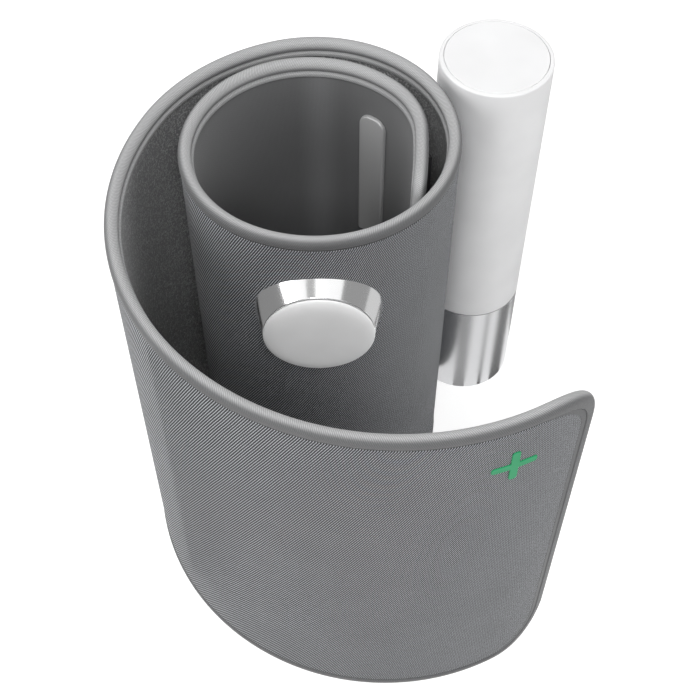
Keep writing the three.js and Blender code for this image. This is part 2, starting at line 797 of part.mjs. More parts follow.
function buildSleeve() {
  const inner = tubeRadius - sleeveThickness;
  const sleeve = revolveRing([[inner, 0], [tubeRadius, 0], [tubeRadius, sleeveHeight], [inner, sleeveHeight]], 40);
  place('electrode_sleeve', sleeve, polishedMetal, tube);
}

function buildButton() {
  const back = height - buttonThickness;
  const stemEnd = height - switchDepth + boardThickness + gap + domeHeight + buttonTravel + gap;
  const button = revolve([
    [0, stemEnd], [buttonStemRadius, stemEnd], [buttonStemRadius, back], [buttonRadius, back],
    ...edgeRound(buttonRadius, height, buttonEdgeRound), [0, height]], 30);
  place('power_button', button, whitePlastic, tube);

  const boardBottom = height - switchDepth;
  const board = upright(switchBoardRadius, boardBottom, boardBottom + boardThickness, 24);
  place('switch_board', board, boardGreen, tube);

  const domeFoot = boardBottom + boardThickness + gap;
  const dome = revolve([
    [0, domeFoot], [domeRadius, domeFoot], [domeRadius, domeFoot + 0.2],
    [domeRadius * 0.7, domeFoot + domeHeight * 0.75], [0, domeFoot + domeHeight]], 16);
  place('button_dome', dome, steel, tube);
}

// One moulding: a spine across the tube with round shelves for the base, the pump and the switch board
function buildChassis() {
  const spineWidth = carrierRadius - 0.2;
  const spine = box(
    [-spineThickness / 2, -spineWidth, baseShelf], [spineThickness / 2, spineWidth, topShelf + shelfThickness]);
  const shelf = (z) => upright(carrierRadius, z, z + shelfThickness, 32);
  const boardSide = box([spineThickness / 2, -2 * carrierRadius, 0], [2 * carrierRadius, 2 * carrierRadius, height]);
  const pumpShelf = cut(shelf(middleShelf), [boardSide]);
  const edge = carrierRadius * 1.2;
  const baseTrim = box([portWidth, -edge, 0], [edge, edge, baseShelf + 2 * shelfThickness]);
  const screwBores = [-1, 1].map((side) =>
    upright(screwRadius + gap, 0, baseShelf + 2 * shelfThickness, 10).translate(0, (side * endScrewSpacing) / 2, 0));
  const standOffHeights = [batteryBottom + standOffInset, batteryBottom + mainBoardLength - standOffInset];
  const half = standOffSize / 2;
  const standOffs = standOffHeights.map((z) =>
    box([0, -half, z - half], [spineThickness / 2 + boardStandOff - gap, half, z + half]));
  const baseShelfSolid = cut(shelf(baseShelf), [baseTrim]);
  const whole = join([spine, baseShelfSolid, pumpShelf, shelf(topShelf), ...standOffs]);
  const portSlot = box(
    [-portWidth / 2 - gap, -portDepth / 2 - gap, 0], [portWidth / 2 + gap, portDepth / 2 + gap, portTop + gap]);
  place('chassis', cut(whole, [...screwBores, portSlot]), darkPlastic, tube);
}

function buildBattery() {
  const x = -(spineThickness / 2 + gap + batteryRadius);
  const top = batteryBottom + batteryLength;
  const cell = revolve([
    [0, batteryBottom], [batteryRadius, batteryBottom], [batteryRadius, top - 1],
    [batteryRadius - 0.6, top - 1], [batteryRadius - 0.6, top - 0.7], [2.6, top - 0.7], [2.6, top], [0, top]], 28);
  place('battery_cell', cell.translate(x, 0, 0), cellWrap, tube);
}

function buildPumpTrain() {
  const bore = motorShaftRadius + gap;
  const motor = revolve([
    [0, motorBottom], [motorRadius, motorBottom], [motorRadius, motorTop - 1.5], [3, motorTop - 1.5],
    [3, motorTop], [bore, motorTop], [bore, motorTop - motorShaftSeat - gap],
    [0, motorTop - motorShaftSeat - gap]], 24);
  place('pump_motor', motor.translate(trainX, 0, 0), steel, tube);

  const rotorFoot = pumpHeadBottom + gap;
  const shaft = upright(motorShaftRadius, motorTop - motorShaftSeat, rotorFoot + 0.2, 10);
  const cam = upright(rotorRadius, rotorFoot, rotorFoot + rotorThickness, 16).translate(rotorOffset, 0, 0);
  place('pump_rotor', join([shaft, cam]).translate(trainX, 0, 0), lightGreyPlastic, tube);

  const headTop = pumpHeadBottom + pumpHeadLength;
  const head = revolve([
    [motorRadius, pumpHeadBottom], [motorRadius, headTop - 3], [motorRadius - 0.8, headTop - 2.4],
    [motorRadius - 0.8, headTop], [0, headTop], [0, pumpHeadBottom + pumpCavityDepth],
    [pumpCavityRadius, pumpHeadBottom + pumpCavityDepth], [pumpCavityRadius, pumpHeadBottom],
    [motorRadius, pumpHeadBottom]], 24);
  place('pump_head', head.translate(trainX, 0, 0), darkPlastic, tube);
}

// The manifold takes air from the pump head to the fitting and carries the release valve
function buildManifold() {
  const top = manifoldBottom + manifoldLength;
  const block = box([trainX - motorRadius + 1, -motorRadius + 1, manifoldBottom], [
    trainX + motorRadius, motorRadius - 1, top]);
  const socket = acrossTube(fittingRadius + gap, -tubeRadius, trainX - 1, fittingHeight);
  place('air_manifold', cut(block, [socket]), darkPlastic, tube);

  const bore = plungerRadius + gap;
  const floor = valveTop - plungerLength + 2 - plungerTravel - gap;
  const body = revolve([
    [0, valveBottom], [valveRadius, valveBottom], [valveRadius, valveTop - 1], [valveRadius - 1, valveTop],
    [bore, valveTop], [bore, floor], [0, floor]], 20);
  place('valve_body', body.translate(trainX, 0, 0), steel, tube);

  const plungerFoot = floor + plungerTravel + gap;
  const headSeat = valveTop + plungerTravel + gap;
  const plunger = revolve([
    [0, plungerFoot], [plungerRadius, plungerFoot], [plungerRadius, headSeat], [plungerRadius + 0.9, headSeat],
    [plungerRadius + 0.9, plungerFoot + plungerLength], [0, plungerFoot + plungerLength]], 14);
  place('valve_plunger', plunger.translate(trainX, 0, 0), rubber, tube);
}

function buildBoards() {
  const back = spineThickness / 2 + boardStandOff;
  const main = box([back, -mainBoardWidth / 2, batteryBottom], [
    back + boardThickness, mainBoardWidth / 2, batteryBottom + mainBoardLength]);
  const boardTop = batteryBottom + mainBoardLength;
  const chips = [
    [batteryBottom + powerChipFromFoot, powerChipSize], [batteryBottom + radioChipFromFoot, radioChipSize],
    [boardTop - displayChipFromTop, displayChipSize]].map(([z, size]) =>
    box([back, -size / 2, z - size / 2], [back + boardThickness + chipHeight, size / 2, z + size / 2]));
  place('main_board', join([main, ...chips]), boardGreen, tube);

  const front = back + boardThickness + gap;
  const half = pressureSensorSize / 2;
  const z = boardTop - pressureSensorFromTop;
  const can = box([front, -half, z - half], [front + pressureSensorHeight, half, z + half]);
  const barb = acrossTube(pressureBarbRadius, front, front + pressureSensorHeight + pressureBarbLength, z);
  place('pressure_sensor', join([can, barb]), lightGreyPlastic, tube);
}

// The display board stands on its own foot on the main board and looks out through the white wall
function buildDisplayBoard() {
  const boardFront = spineThickness / 2 + boardStandOff + boardThickness;
  const top = batteryBottom + mainBoardLength;
  const x = Math.sqrt(carrierRadius ** 2 - (displayBoardWidth / 2) ** 2) - boardThickness - 1;
  const panel = box([x, -displayBoardWidth / 2, top - displayBoardLength], [
    x + boardThickness, displayBoardWidth / 2, top]);
  const socket = box([boardFront + gap, -5, top - 4.5], [x + 0.5, 5, top - 1]);
  place('display_board', join([panel, socket]), boardGreen, tube);
}

function buildEndCap() {
  const flangeRadius = tubeRadius - sleeveThickness - gap;
  const cap = revolve([
    [0, 0], [flangeRadius, 0], [flangeRadius, endCapFlange], [carrierRadius, endCapFlange],
    [carrierRadius, endCapDepth], [0, endCapDepth]], 32);
  const portHole = box(
    [-portWidth / 2 - gap, -portDepth / 2 - gap, -1], [portWidth / 2 + gap, portDepth / 2 + gap, endCapDepth + 1]);
  const bores = [-1, 1].flatMap((side) => {
    const y = (side * endScrewSpacing) / 2;
    const shank = upright(screwRadius + gap, -1, endCapDepth + 1, 10).translate(0, y, 0);
    const headBore = upright(screwHeadRadius + gap, -1, screwHeadHeight + 2 * gap, 14).translate(0, y, 0);
    return [shank, headBore];
  });
  place('end_cap', cut(cap, [portHole, ...bores]), lightGreyPlastic, tube);

  [-1, 1].forEach((side, i) => {
    const seat = screwHeadHeight + gap;
    const piece = screw(seat, baseShelf + shelfThickness).translate(0, (side * endScrewSpacing) / 2, 0);
    place(`end_cap_screw_${i + 1}`, piece, steel, tube);
  });

  const half = [portWidth / 2, portDepth / 2];
  const shell = box([-half[0], -half[1], portInset], [half[0], half[1], portTop]);
  const mouth = box(
    [-half[0] + portWall, -half[1] + portWall, 0], [half[0] - portWall, half[1] - portWall, portTop - 1]);
  place('charging_port', cut(shell, [mouth]), steel, tube);
}

// Saddle and fixings between the tube and the cuff

function planSolid(points, low, high) {
  const shape = new THREE.Shape(points.map(({ x, y }) => new THREE.Vector2(x, y)));
  return new THREE.ExtrudeGeometry(shape, { depth: high - low, bevelEnabled: false }).translate(0, 0, low);
}

// The cuff's screws end short of the tube, and the tube's screws short of the cuff
const saddleFace = tubeAxisDepth - tubeRadius - gap;
const cuffScrewTip = saddleFace - 0.9;
const tubeScrewTip = outsideDepth + 0.9;

function buildSaddle() {
  const half = saddleWidth / 2;
  const cuffSide = stationsBetween(tubeStation - half, tubeStation + half).map((s) => onCuff(s, outsideDepth));
  const tubeFace = tubeRadius + gap;
  const reach = Math.asin(half / tubeFace);
  const towardCuff = poseAt(tubeStation).heading + quarter;
  const tubeSide = [-1, -0.5, 0, 0.5, 1].map((share) => {
    const angle = towardCuff + share * reach;
    return { x: tubeAxis.x + tubeFace * Math.cos(angle), y: tubeAxis.y + tubeFace * Math.sin(angle) };
  });
  const ends = [tubeSide[0], tubeSide[4]];
  const last = cuffSide[cuffSide.length - 1];
  const nearLast = ends.map(({ x, y }) => Math.hypot(x - last.x, y - last.y));
  const ordered = nearLast[0] < nearLast[1] ? tubeSide : [...tubeSide].reverse();
  const block = planSolid([...cuffSide, ...ordered], saddleBottom, saddleTop);
  const cuffBores = saddleScrewHeights.map((z) =>
    placedOnCuff(upright(screwRadius + gap, 0, cuffScrewTip + gap, 8), tubeStation, z));
  const tubeBores = tubeScrewHeights.map((z) =>
    placedOnCuff(upright(screwRadius + gap, tubeScrewTip - gap, tubeAxisDepth, 8), tubeStation, z));
  const airWay = placedOnCuff(
    upright(fittingRadius + gap, 0, tubeAxisDepth, 16), tubeStation, fittingHeight);
  place('tube_saddle', cut(block, [...cuffBores, ...tubeBores, airWay]), darkPlastic);
}

function buildSaddleFixings() {
  const half = saddleWidth / 2;
  const plateDepths = [insideDepth - saddlePlateThickness, insideDepth];
  const plate = slabOnCuff(tubeStation - half, tubeStation + half, plateDepths, [saddleBottom, saddleTop]);
  const bores = saddleScrewHeights.map((z) => wallBore(screwRadius + gap, tubeStation, z));
  place('saddle_plate', cut(plate, bores), darkPlastic);

  saddleScrewHeights.forEach((z, i) => {
    const piece = screw(plateDepths[0] - gap, cuffScrewTip);
    place(`saddle_screw_${i + 1}`, placedOnCuff(piece, tubeStation, z), steel);
  });

  const seat = tubeAxisDepth - Math.sqrt(tubeInnerRadius ** 2 - screwHeadRadius ** 2) + gap;
  tubeScrewHeights.forEach((z, i) => {
    const piece = screw(0, seat - tubeScrewTip).rotateX(Math.PI).translate(0, 0, seat);
    place(`tube_screw_${i + 1}`, placedOnCuff(piece, tubeStation, z), steel);
  });
}

// A hollow pipe from the bladder's neck to the manifold, with a flange that follows the tube's wall
function buildFitting() {
  const inner = bladderDepths[1] + gap;
  const outer = tubeAxisDepth + trainX - motorRadius + 2;
  const wall = tubeAxisDepth - tubeInnerRadius;
  const bore = fittingBore + 0.2;
  const pipe = revolveRing([
    [fittingBore, inner], [fittingRadius, inner], [fittingRadius, outer], [fittingBore, outer]], 12);
  const flange = revolveRing([
    [bore, wall - 1], [fittingFlangeRadius, wall - 1],
    [fittingFlangeRadius, wall + gap + fittingFlangeThickness], [bore, wall + gap + fittingFlangeThickness]], 12);
  const inTube = upright(tubeInnerRadius - gap, 0, height, 40).translate(tubeAxis.x, tubeAxis.y, 0);
  const curved = common(placedOnCuff(flange, tubeStation, fittingHeight), inTube);
  place('air_fitting', join([placedOnCuff(pipe, tubeStation, fittingHeight), curved]), lightGreyPlastic);
}

buildOuterFabric();
buildStiffener();
buildLining();
buildBinding();
buildBladder();
buildElectrode();
buildRibbon();
buildFlapTrim();
buildSensorRing();
buildSensorCap();
buildSensorInside();
buildSensorScrews();
buildHousing();
buildSleeve();
buildButton();
buildChassis();
buildBattery();
buildPumpTrain();
buildManifold();
buildBoards();
buildDisplayBoard();
buildEndCap();
buildSaddle();
buildSaddleFixings();
buildFitting();

// The origin is the centre of the footprint
const footprint = new THREE.Box3().setFromObject(model, true).getCenter(new THREE.Vector3());
model.position.set(-footprint.x, -footprint.y, 0);

export default model;
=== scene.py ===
"""Upper-arm blood pressure monitor: cloth, tape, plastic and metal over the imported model.

Sizes are metres and +Z is up. The cuff's pieces are modelled flat, with X along the cuff, Y up and
Z out of its wall, and are then rolled onto its coil.
"""

import math

import bmesh
import bpy
from bpy.props import FloatProperty, FloatVectorProperty, IntProperty, PointerProperty
from mathutils import Matrix, Vector


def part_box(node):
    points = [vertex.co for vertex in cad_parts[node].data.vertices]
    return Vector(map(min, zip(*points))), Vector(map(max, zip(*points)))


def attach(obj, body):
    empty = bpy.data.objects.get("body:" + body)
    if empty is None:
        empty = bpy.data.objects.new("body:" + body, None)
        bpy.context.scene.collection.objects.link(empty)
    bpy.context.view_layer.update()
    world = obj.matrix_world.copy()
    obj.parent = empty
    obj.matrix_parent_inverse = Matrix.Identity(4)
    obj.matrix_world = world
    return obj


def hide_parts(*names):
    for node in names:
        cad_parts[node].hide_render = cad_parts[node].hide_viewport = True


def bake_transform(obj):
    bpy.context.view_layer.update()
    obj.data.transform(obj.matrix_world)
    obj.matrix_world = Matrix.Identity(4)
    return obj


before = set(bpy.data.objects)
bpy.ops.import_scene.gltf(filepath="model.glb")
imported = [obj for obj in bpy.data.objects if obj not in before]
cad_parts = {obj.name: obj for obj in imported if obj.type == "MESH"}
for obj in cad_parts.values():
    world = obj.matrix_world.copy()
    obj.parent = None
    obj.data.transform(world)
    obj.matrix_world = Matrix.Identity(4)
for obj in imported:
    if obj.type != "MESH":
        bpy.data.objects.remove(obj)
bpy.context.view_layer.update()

bl_info = {
    "name": "Arm-In Blood Pressure Monitor",
    "version": (1, 0, 0),
    "blender": (4, 5, 0),
    "location": "3D View > Sidebar > Monitor",
    "description": "Builds the monitor's cuff, sensor head and tube in cloth, plastic and metal",
    "category": "Object",
}

# The cuff's plan through the middle of its wall: (radius, length) of each arc, anticlockwise from above
CUFF_ARCS = (
    (0.2000, 0.0250000),
    (0.0277, 0.0215574),
    (0.0381, 0.1326616),
    (0.0432, 0.1338318),
    (0.0445, 0.0365036),
    (0.0635, 0.0518677),
    (0.0835, 0.2062150),
    (0.0460, 0.0232827),
)
CUFF_LENGTH = sum(length for _, length in CUFF_ARCS)
CUFF_HEADING = 1.4477144
HEAD_TURN_RADIUS = CUFF_ARCS[3][0]

# The tube stands on the table; its axis anchors the plan
TUBE_LOW, TUBE_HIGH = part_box("electrode_sleeve")
TUBE_AXIS = (TUBE_LOW + TUBE_HIGH) / 2
TUBE_RADIUS = (TUBE_HIGH.x - TUBE_LOW.x) / 2
CUFF_START = (TUBE_AXIS.x - 0.0265552, TUBE_AXIS.y - 0.0574127)
CUFF_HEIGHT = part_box("edge_binding_loop")[1].z

# Stations along the cuff and heights up it
JOIN_STATION = 0.33955
ELECTRODE_STATION = 0.053657
SENSOR_STATION = 0.199919
SENSOR_HEIGHT = 0.1246
TUBE_STATION = 0.290151
PILE_STATION = 0.2128
# Middle of the lining's painted sheen highlight, a paler upright band inside the arm loop.
LINING_SHEEN_STATION = 0.0740
FITTING_HEIGHT = 0.096
SADDLE_SCREW_HEIGHTS = (0.075, 0.115)
TUBE_SCREW_HEIGHTS = (0.066, 0.124)

# Back and front of each layer, out from the middle of the wall, and the depth of the wall's faces
FABRIC = (0.0011, 0.0017)
CORE = {"loop": (0.0001, 0.0008), "flap": (-0.0008, 0.0008)}
POUCH = (-0.0008, -0.0002)
LINING = (-0.0017, -0.0011)
SURFACE = 0.0020

# Fixed sizes of the cuff's wall
TWILL_EDGE = 0.00015
GROOVE = 0.00016
TAPE_END_EXTRA = 0.0014
HEM_END_EXTRA = 0.0016
TAPE_WEB = 0.0016
LINING_GAP = 0.0002
JOIN_LAP = 0.012
CORE_MARGIN = 0.0018
POUCH_MARGIN = 0.015
WELD_WIDTH = 0.004
WELD_SLOPE = 0.0006
WELD_RISE = 0.0002
# Half the height of the twill's band that the sensor head's hole is cut in
HOLE_BAND = 0.0165
# How far before the flap's round corners its end starts
END_MARGIN = 0.003
# How much longer the strips of the hidden layers are than the twill's
HIDDEN_STRIP = 1.5

# Fixed sizes of the trim, the head and the tube
ELECTRODE_GAP = 0.0003
ELECTRODE_EDGE = 0.00065
ELECTRODE_CORNERS = (0.0012, 0.0012, 0.0042, 0.0042)
PLUS_THICKNESS = 0.0004
PLUS_EDGE = 0.00012
HOOK_THICKNESS = 0.0008
HOOK_CORNER = 0.005
RING_EDGE = 0.00028
CAP_THICKNESS = 0.0015
CLAMP_RADIUS, CLAMP_THICKNESS = 0.0158, 0.0012
SKIN_RADIUS, SKIN_THICKNESS = 0.011, 0.0008
BAND_GAP = 0.0003
BUTTON_CLEARANCE = 0.00014
BUTTON_THICKNESS = 0.0024
BUTTON_ROOM = 0.0011
STEM_RADIUS, STEM_FOOT = 0.0022, 0.1506
SCREW_HOLE = 0.0013
FITTING_HOLE = 0.0023
MICROPHONE_HOLE = 0.0083
HEAD_HOLE = 0.0148
POUCH_HOLE = 0.0162
HEAD_SCREW_CIRCLE = 0.013

# Lengths of the flat strips that the small pieces are rolled in
ELECTRODE_STRIP = 0.0009
PLUS_STRIP = 0.001
HOOK_STRIP = 0.002
DISC_STRIP = 0.0015


# Sizes and colours


def size(label, description, default):
    """A length, from a quarter of its default to four times it."""
    low, high = default / 4, default * 4
    return FloatProperty(
        name=label, description=description, default=default, min=low, max=high, unit="LENGTH", precision=5
    )


def strength(label, description, default):
    return FloatProperty(name=label, description=description, default=default, min=0.0, max=100.0)


def angle(label, description, default):
    return FloatProperty(name=label, description=description, default=default, subtype="ANGLE")


def colour(label, description, default):
    return FloatVectorProperty(
        name=label, description=description, default=default, size=3, min=0.0, max=1.0, subtype="COLOR"
    )


class CuffSizes(bpy.types.PropertyGroup):
    """Sizes of the cuff's cloth and tape."""

    roll_step: size("Roll step", "Length of one flat strip along the coil", 0.002)
    free_corner: size("Free end corner", "Corner radius at the flap's free end", 0.022)
    inner_corner: size("Inner end corner", "Corner radius at the inner end", 0.006)
    tape_half: size("Tape half thickness", "Half of the folded tape's thickness", 0.0020)
    tape_outside: size("Tape outside width", "How far the tape reaches over the outer face", 0.0034)
    tape_inside: size("Tape inside width", "How far the rolled tape reaches over the inner face", 0.0038)
    tape_flange: size("Tape flange width", "Raised strip beside the tape's inner seam", 0.0018)
    flange_rise: size("Tape flange rise", "How far the raised strip stands off the rolled tape", 0.00065)
    hem_width: size("Hem width", "Flat hem between the tape and the twill on the long edges", 0.0004)


class TrimSizes(bpy.types.PropertyGroup):
    """Sizes of the electrode, the hook patch and the plus mark."""

    electrode_width: size("Electrode width", "Width of the strip inside the loop", 0.0107)
    electrode_top: size("Electrode top", "Height of the strip's round top", 0.1434)
    electrode_length: size("Electrode length", "Length of the strip", 0.0562)
    electrode_thickness: size("Electrode thickness", "How far the strip stands off the lining", 0.0009)
    hook_length: size("Hook patch length", "Length of the hook patch along the flap", 0.062)
    hook_from_end: size("Hook patch from end", "From the free end to the patch", 0.014)
    hook_margin: size("Hook patch margin", "From the cuff's top and bottom to the patch", 0.026)
    plus_size: size("Plus size", "Height and width of the plus mark", 0.0137)
    plus_stroke: size("Plus stroke", "Width of the plus mark's bars", 0.0025)
    plus_from_end: size("Plus from end", "From the free end to the mark's middle", 0.030)
    plus_from_top: size("Plus from top", "From the cuff's top to the mark's middle", 0.0210)


class HeadSizes(bpy.types.PropertyGroup):
    """Sizes of the round sensor head; depths are from the middle of the cuff's wall."""

    foot_radius: size("Foot radius", "Radius of the ring where it meets the cloth", 0.0201)
    rim_radius: size("Rim radius", "Radius of the ring at its front", 0.0173)
    ring_wall: size("Ring wall", "Wall of the polished ring", 0.0016)
    ring_front: size("Ring front", "Depth of the ring's front", 0.0070)
    cap_face: size("Cap face", "Depth of the cap's face", 0.0089)
    cap_edge: size("Cap edge", "How far the cap's soft edge falls", 0.0013)
    cap_fall: size("Cap fall", "How far in the cap's soft edge starts", 0.0050)


class TubeSizes(bpy.types.PropertyGroup):
    """Sizes of the white tube and its metal band."""

    segments: IntProperty(name="Segments", description="Steps round each turned piece", default=128, min=24)
    wall: size("Wall", "From the tube's outside to its bore", 0.0026)
    rim: size("Rim", "Width of the rim round the button", 0.0015)
    rim_edge: size("Rim edge", "Rounding of the tube's top edge", 0.0008)
    button_edge: size("Button edge", "Rounding of the button's edge", 0.00018)
    band_height: size("Band height", "Height of the metal band", 0.0479)
    band_wall: size("Band wall", "Thickness of the metal band", 0.0008)
    band_seam: size("Band seam", "Gap between the band and the white shell", 0.0003)


class FinishColours(bpy.types.PropertyGroup):
    """Colours of the finishes and the scale of their weaves."""

    twill_light: colour("Twill, light yarn", "Ridges of the outer twill", (0.432, 0.444, 0.466))
    twill_dark: colour("Twill, dark yarn", "Grooves of the outer twill", (0.006, 0.0065, 0.0075))
    lining: colour("Lining", "Smooth lining inside the loop", (0.125, 0.1265, 0.129))
    pile: colour("Pile", "Looped lining of the outer turn", (0.34, 0.342, 0.347))
    # The tape's sides and crown are lit and shaded copies of one tape: the much lighter crown colour is
    # painted top light on the fold.
    tape: colour("Binding tape", "Sides of the tape round the cuff's edge", (0.136, 0.1375, 0.140))
    crown: colour("Tape crown", "Fold of the tape along the cuff's edge", (0.465, 0.467, 0.471))
    hem: colour("Hem", "Pressed hem beside the tape", (0.13, 0.132, 0.135))
    hook: colour("Hook cloth", "Hook patch at the flap's end", (0.06, 0.065, 0.07))
    plus: colour("Plus mark", "Plus mark on the flap", (0.020, 0.31, 0.125))
    white: colour("White plastic", "Tube and button", (0.86, 0.86, 0.865))
    cap: colour("Cap plastic", "Sensor cap", (0.895, 0.895, 0.895))
    dark: colour("Dark plastic", "Chassis, plates and saddle", (0.03, 0.032, 0.035))
    chrome: colour("Polished metal", "Sensor ring", (0.97, 0.972, 0.975))
    band: colour("Turned metal", "Tube band", (0.67, 0.672, 0.682))
    satin: colour("Satin metal", "Electrode strip", (0.48, 0.482, 0.484))
    plate: colour("Wall plate", "Plate between the cuff's turns", (0.09, 0.09, 0.092))
    twill_pitch: size("Twill pitch", "From one twill ridge to the next", 0.00068)
    twill_angle: angle("Twill angle", "Lean of the twill's ridges", math.radians(63))
    tape_pitch: size("Tape rib pitch", "From one rib of the tape to the next", 0.00052)


class StageSettings(bpy.types.PropertyGroup):
    """Camera, lamps and backdrop."""

    camera_back: size("Camera back", "From the camera to the tube's axis along Y", 0.327104)
    camera_left: size("Camera left", "From the camera to the tube's axis along X", 0.046891)
    camera_height: size("Camera height", "Height of the camera", 0.446219)
    camera_lens: FloatProperty(name="Lens", description="Focal length in millimetres", default=67.216, min=10)
    camera_dip: angle("Dip", "How far the camera looks down", 0.93898)
    camera_roll: angle("Roll", "Roll of the camera", 0.008)
    ambient: strength("Ambient", "Strength of the studio's even light", 0.21)
    back_light: strength("Back light", "Strength of the studio's light straight from behind", 0.70)
    key_lamp: strength("Key lamp", "Watts of the large softbox at the front left", 1.4)
    front_lamp: strength("Front lamp", "Watts of the softbox above the camera", 7.4)
    left_lamp: strength("Left lamp", "Watts of the left softbox", 5.4)
    right_lamp: strength("Right lamp", "Watts of the right softbox", 4.2)
    back_lamp: strength("Back lamp", "Watts of the softbox behind the object", 1.0)


SETTINGS = {
    "monitor_cuff": CuffSizes,
    "monitor_trim": TrimSizes,
    "monitor_head": HeadSizes,
    "monitor_tube": TubeSizes,
    "monitor_finish": FinishColours,
    "monitor_stage": StageSettings,
}


# The cuff's coil


def along_arc(x, y, heading, radius, length):
    turned = heading + length / radius
    return (
        x + radius * (math.sin(turned) - math.sin(heading)),
        y - radius * (math.cos(turned) - math.cos(heading)),
        turned,
    )


def coil_starts():
    """Station, pose and radius at the start of each arc."""
    station = 0.0
    pose = (*CUFF_START, CUFF_HEADING)
    starts = []
    for radius, length in CUFF_ARCS:
        starts.append((station, pose, radius))
        station += length
        pose = along_arc(*pose, radius, length)
    return starts


COIL = coil_starts()


def pose_at(station):
    start, pose, radius = next((arc for arc in reversed(COIL) if station >= arc[0]), COIL[0])
    return along_arc(*pose, radius, station - start)


def on_cuff(station, up, out):
    """The point at a station, a height and a depth out from the middle of the wall."""
    x, y, heading = pose_at(station)
    return Vector((x + out * math.sin(heading), y - out * math.cos(heading), up))


def cuff_frame(station, up):
    """A frame on the cuff: X along it, Y up and Z out of it."""
    heading = pose_at(station)[2]
    cosine, sine = math.cos(heading), math.sin(heading)
    axes = Matrix(((cosine, 0, sine), (sine, 0, -cosine), (0, 1, 0))).to_4x4()
    return Matrix.Translation(on_cuff(station, up, 0)) @ axes


HEAD_PLACE = cuff_frame(SENSOR_STATION, SENSOR_HEIGHT)


# Modelling helpers


def everything(bm):
    return [*bm.verts, *bm.edges, *bm.faces]


def round_off(bm, geom, radius, segments, affect, clamp):
    bmesh.ops.bevel(
        bm,
        geom=geom,
        offset=radius,
        offset_type="OFFSET",
        segments=segments,
        profile=0.5,
        affect=affect,
        material=-1,
        clamp_overlap=clamp,
    )


def outline(points, corners):
    """One flat face through a few points, with each corner rounded to its own radius."""
    bm = bmesh.new()
    verts = [bm.verts.new((x, y, 0)) for x, y in points]
    bm.faces.new(verts)
    for vert, radius in zip(verts, corners):
        if radius:
            round_off(bm, [vert], radius, 10, "VERTICES", False)
    return bm


def thicken(bm, back, front):
    """Extrudes a flat outline into a closed slab and returns its front face."""
    bmesh.ops.translate(bm, vec=(0, 0, back), verts=bm.verts)
    result = bmesh.ops.extrude_face_region(bm, geom=list(bm.faces), use_keep_orig=True)["geom"]
    raised = [item for item in result if isinstance(item, bmesh.types.BMVert)]
    bmesh.ops.translate(bm, vec=(0, 0, front - back), verts=raised)
    bmesh.ops.recalc_face_normals(bm, faces=bm.faces)
    return next(item for item in result if isinstance(item, bmesh.types.BMFace))


def inset(bm, face, width, rise, slot=0):
    """Insets a face and raises it; the new ring of faces takes a material slot."""
    ring = bmesh.ops.inset_region(bm, faces=[face], thickness=width, depth=rise, use_even_offset=True)
    for new in ring["faces"]:
        new.material_index = slot


def roll_up(bm):
    for vert in bm.verts:
        vert.co = on_cuff(*vert.co)


def slice_and_roll(bm, step, heights=()):
    """Cuts a flat slab into strips, takes its flat place in metres as its UV map and rolls it up."""
    low = min(v.co.x for v in bm.verts)
    high = max(v.co.x for v in bm.verts)
    count = max(1, round((high - low) / step))
    cuts = [((low + (high - low) * i / count, 0, 0), (1, 0, 0)) for i in range(1, count)]
    cuts += [((0, height, 0), (0, 1, 0)) for height in heights]
    for place, normal in cuts:
        bmesh.ops.bisect_plane(bm, geom=everything(bm), dist=1e-7, plane_co=place, plane_no=normal)
    layer = bm.loops.layers.uv.new("UVMap")
    for face in bm.faces:
        for loop in face.loops:
            loop[layer].uv = loop.vert.co.xy
    roll_up(bm)


def lathe(profile):
    """A piece turned on the Z axis from (radius, height) points; off the axis they close on themselves."""
    bm = bmesh.new()
    verts = [bm.verts.new((radius, 0, height)) for radius, height in profile]
    edges = [bm.edges.new(pair) for pair in zip(verts, verts[1:])]
    if min(radius for radius, _ in profile) > 0:
        edges.append(bm.edges.new((verts[-1], verts[0])))
    bmesh.ops.spin(
        bm,
        geom=verts + edges,
        cent=(0, 0, 0),
        axis=(0, 0, 1),
        angle=math.tau,
        steps=bpy.context.scene.monitor_tube.segments,
        use_merge=True,
    )
    bmesh.ops.remove_doubles(bm, verts=bm.verts, dist=1e-6)
    bmesh.ops.recalc_face_normals(bm, faces=bm.faces)
    return bm


def soften(bm, radius, level=None, beyond=-1.0, within=math.inf, segments=2):
    """Rounds the edges that fold by over 30 degrees, at a level and between two distances from the axis."""

    def chosen(edge):
        if not edge.is_manifold or edge.calc_face_angle() <= math.radians(30):
            return False
        first, second = edge.verts
        if level is not None and abs((first.co.z + second.co.z) / 2 - level) >= 1e-6:
            return False
        return beyond < first.co.xy.length < within

    round_off(bm, [edge for edge in bm.edges if chosen(edge)], radius, segments, "EDGES", True)


def add_object(bm, name):
    """A mesh object at the origin from a finished bmesh."""
    mesh = bpy.data.meshes.new(name)
    bm.to_mesh(mesh)
    bm.free()
    piece = bpy.data.objects.new(name, mesh)
    bpy.context.scene.collection.objects.link(piece)
    return piece


def make_piece(bm, name, *looks, sharp=38.0):
    """A piece in its finishes, smooth except where it folds by more than an angle."""
    piece = add_object(bm, name)
    for look in looks:
        piece.data.materials.append(finish(look))
    piece.data.shade_smooth()
    piece.data.set_sharp_from_angle(angle=math.radians(sharp))
    return piece


def crisp(piece):
    """Lets the large faces lead the shading, so that a rounded edge doesn't bend it."""
    modifier = piece.modifiers.new("Crisp", "WEIGHTED_NORMAL")
    modifier.keep_sharp = True


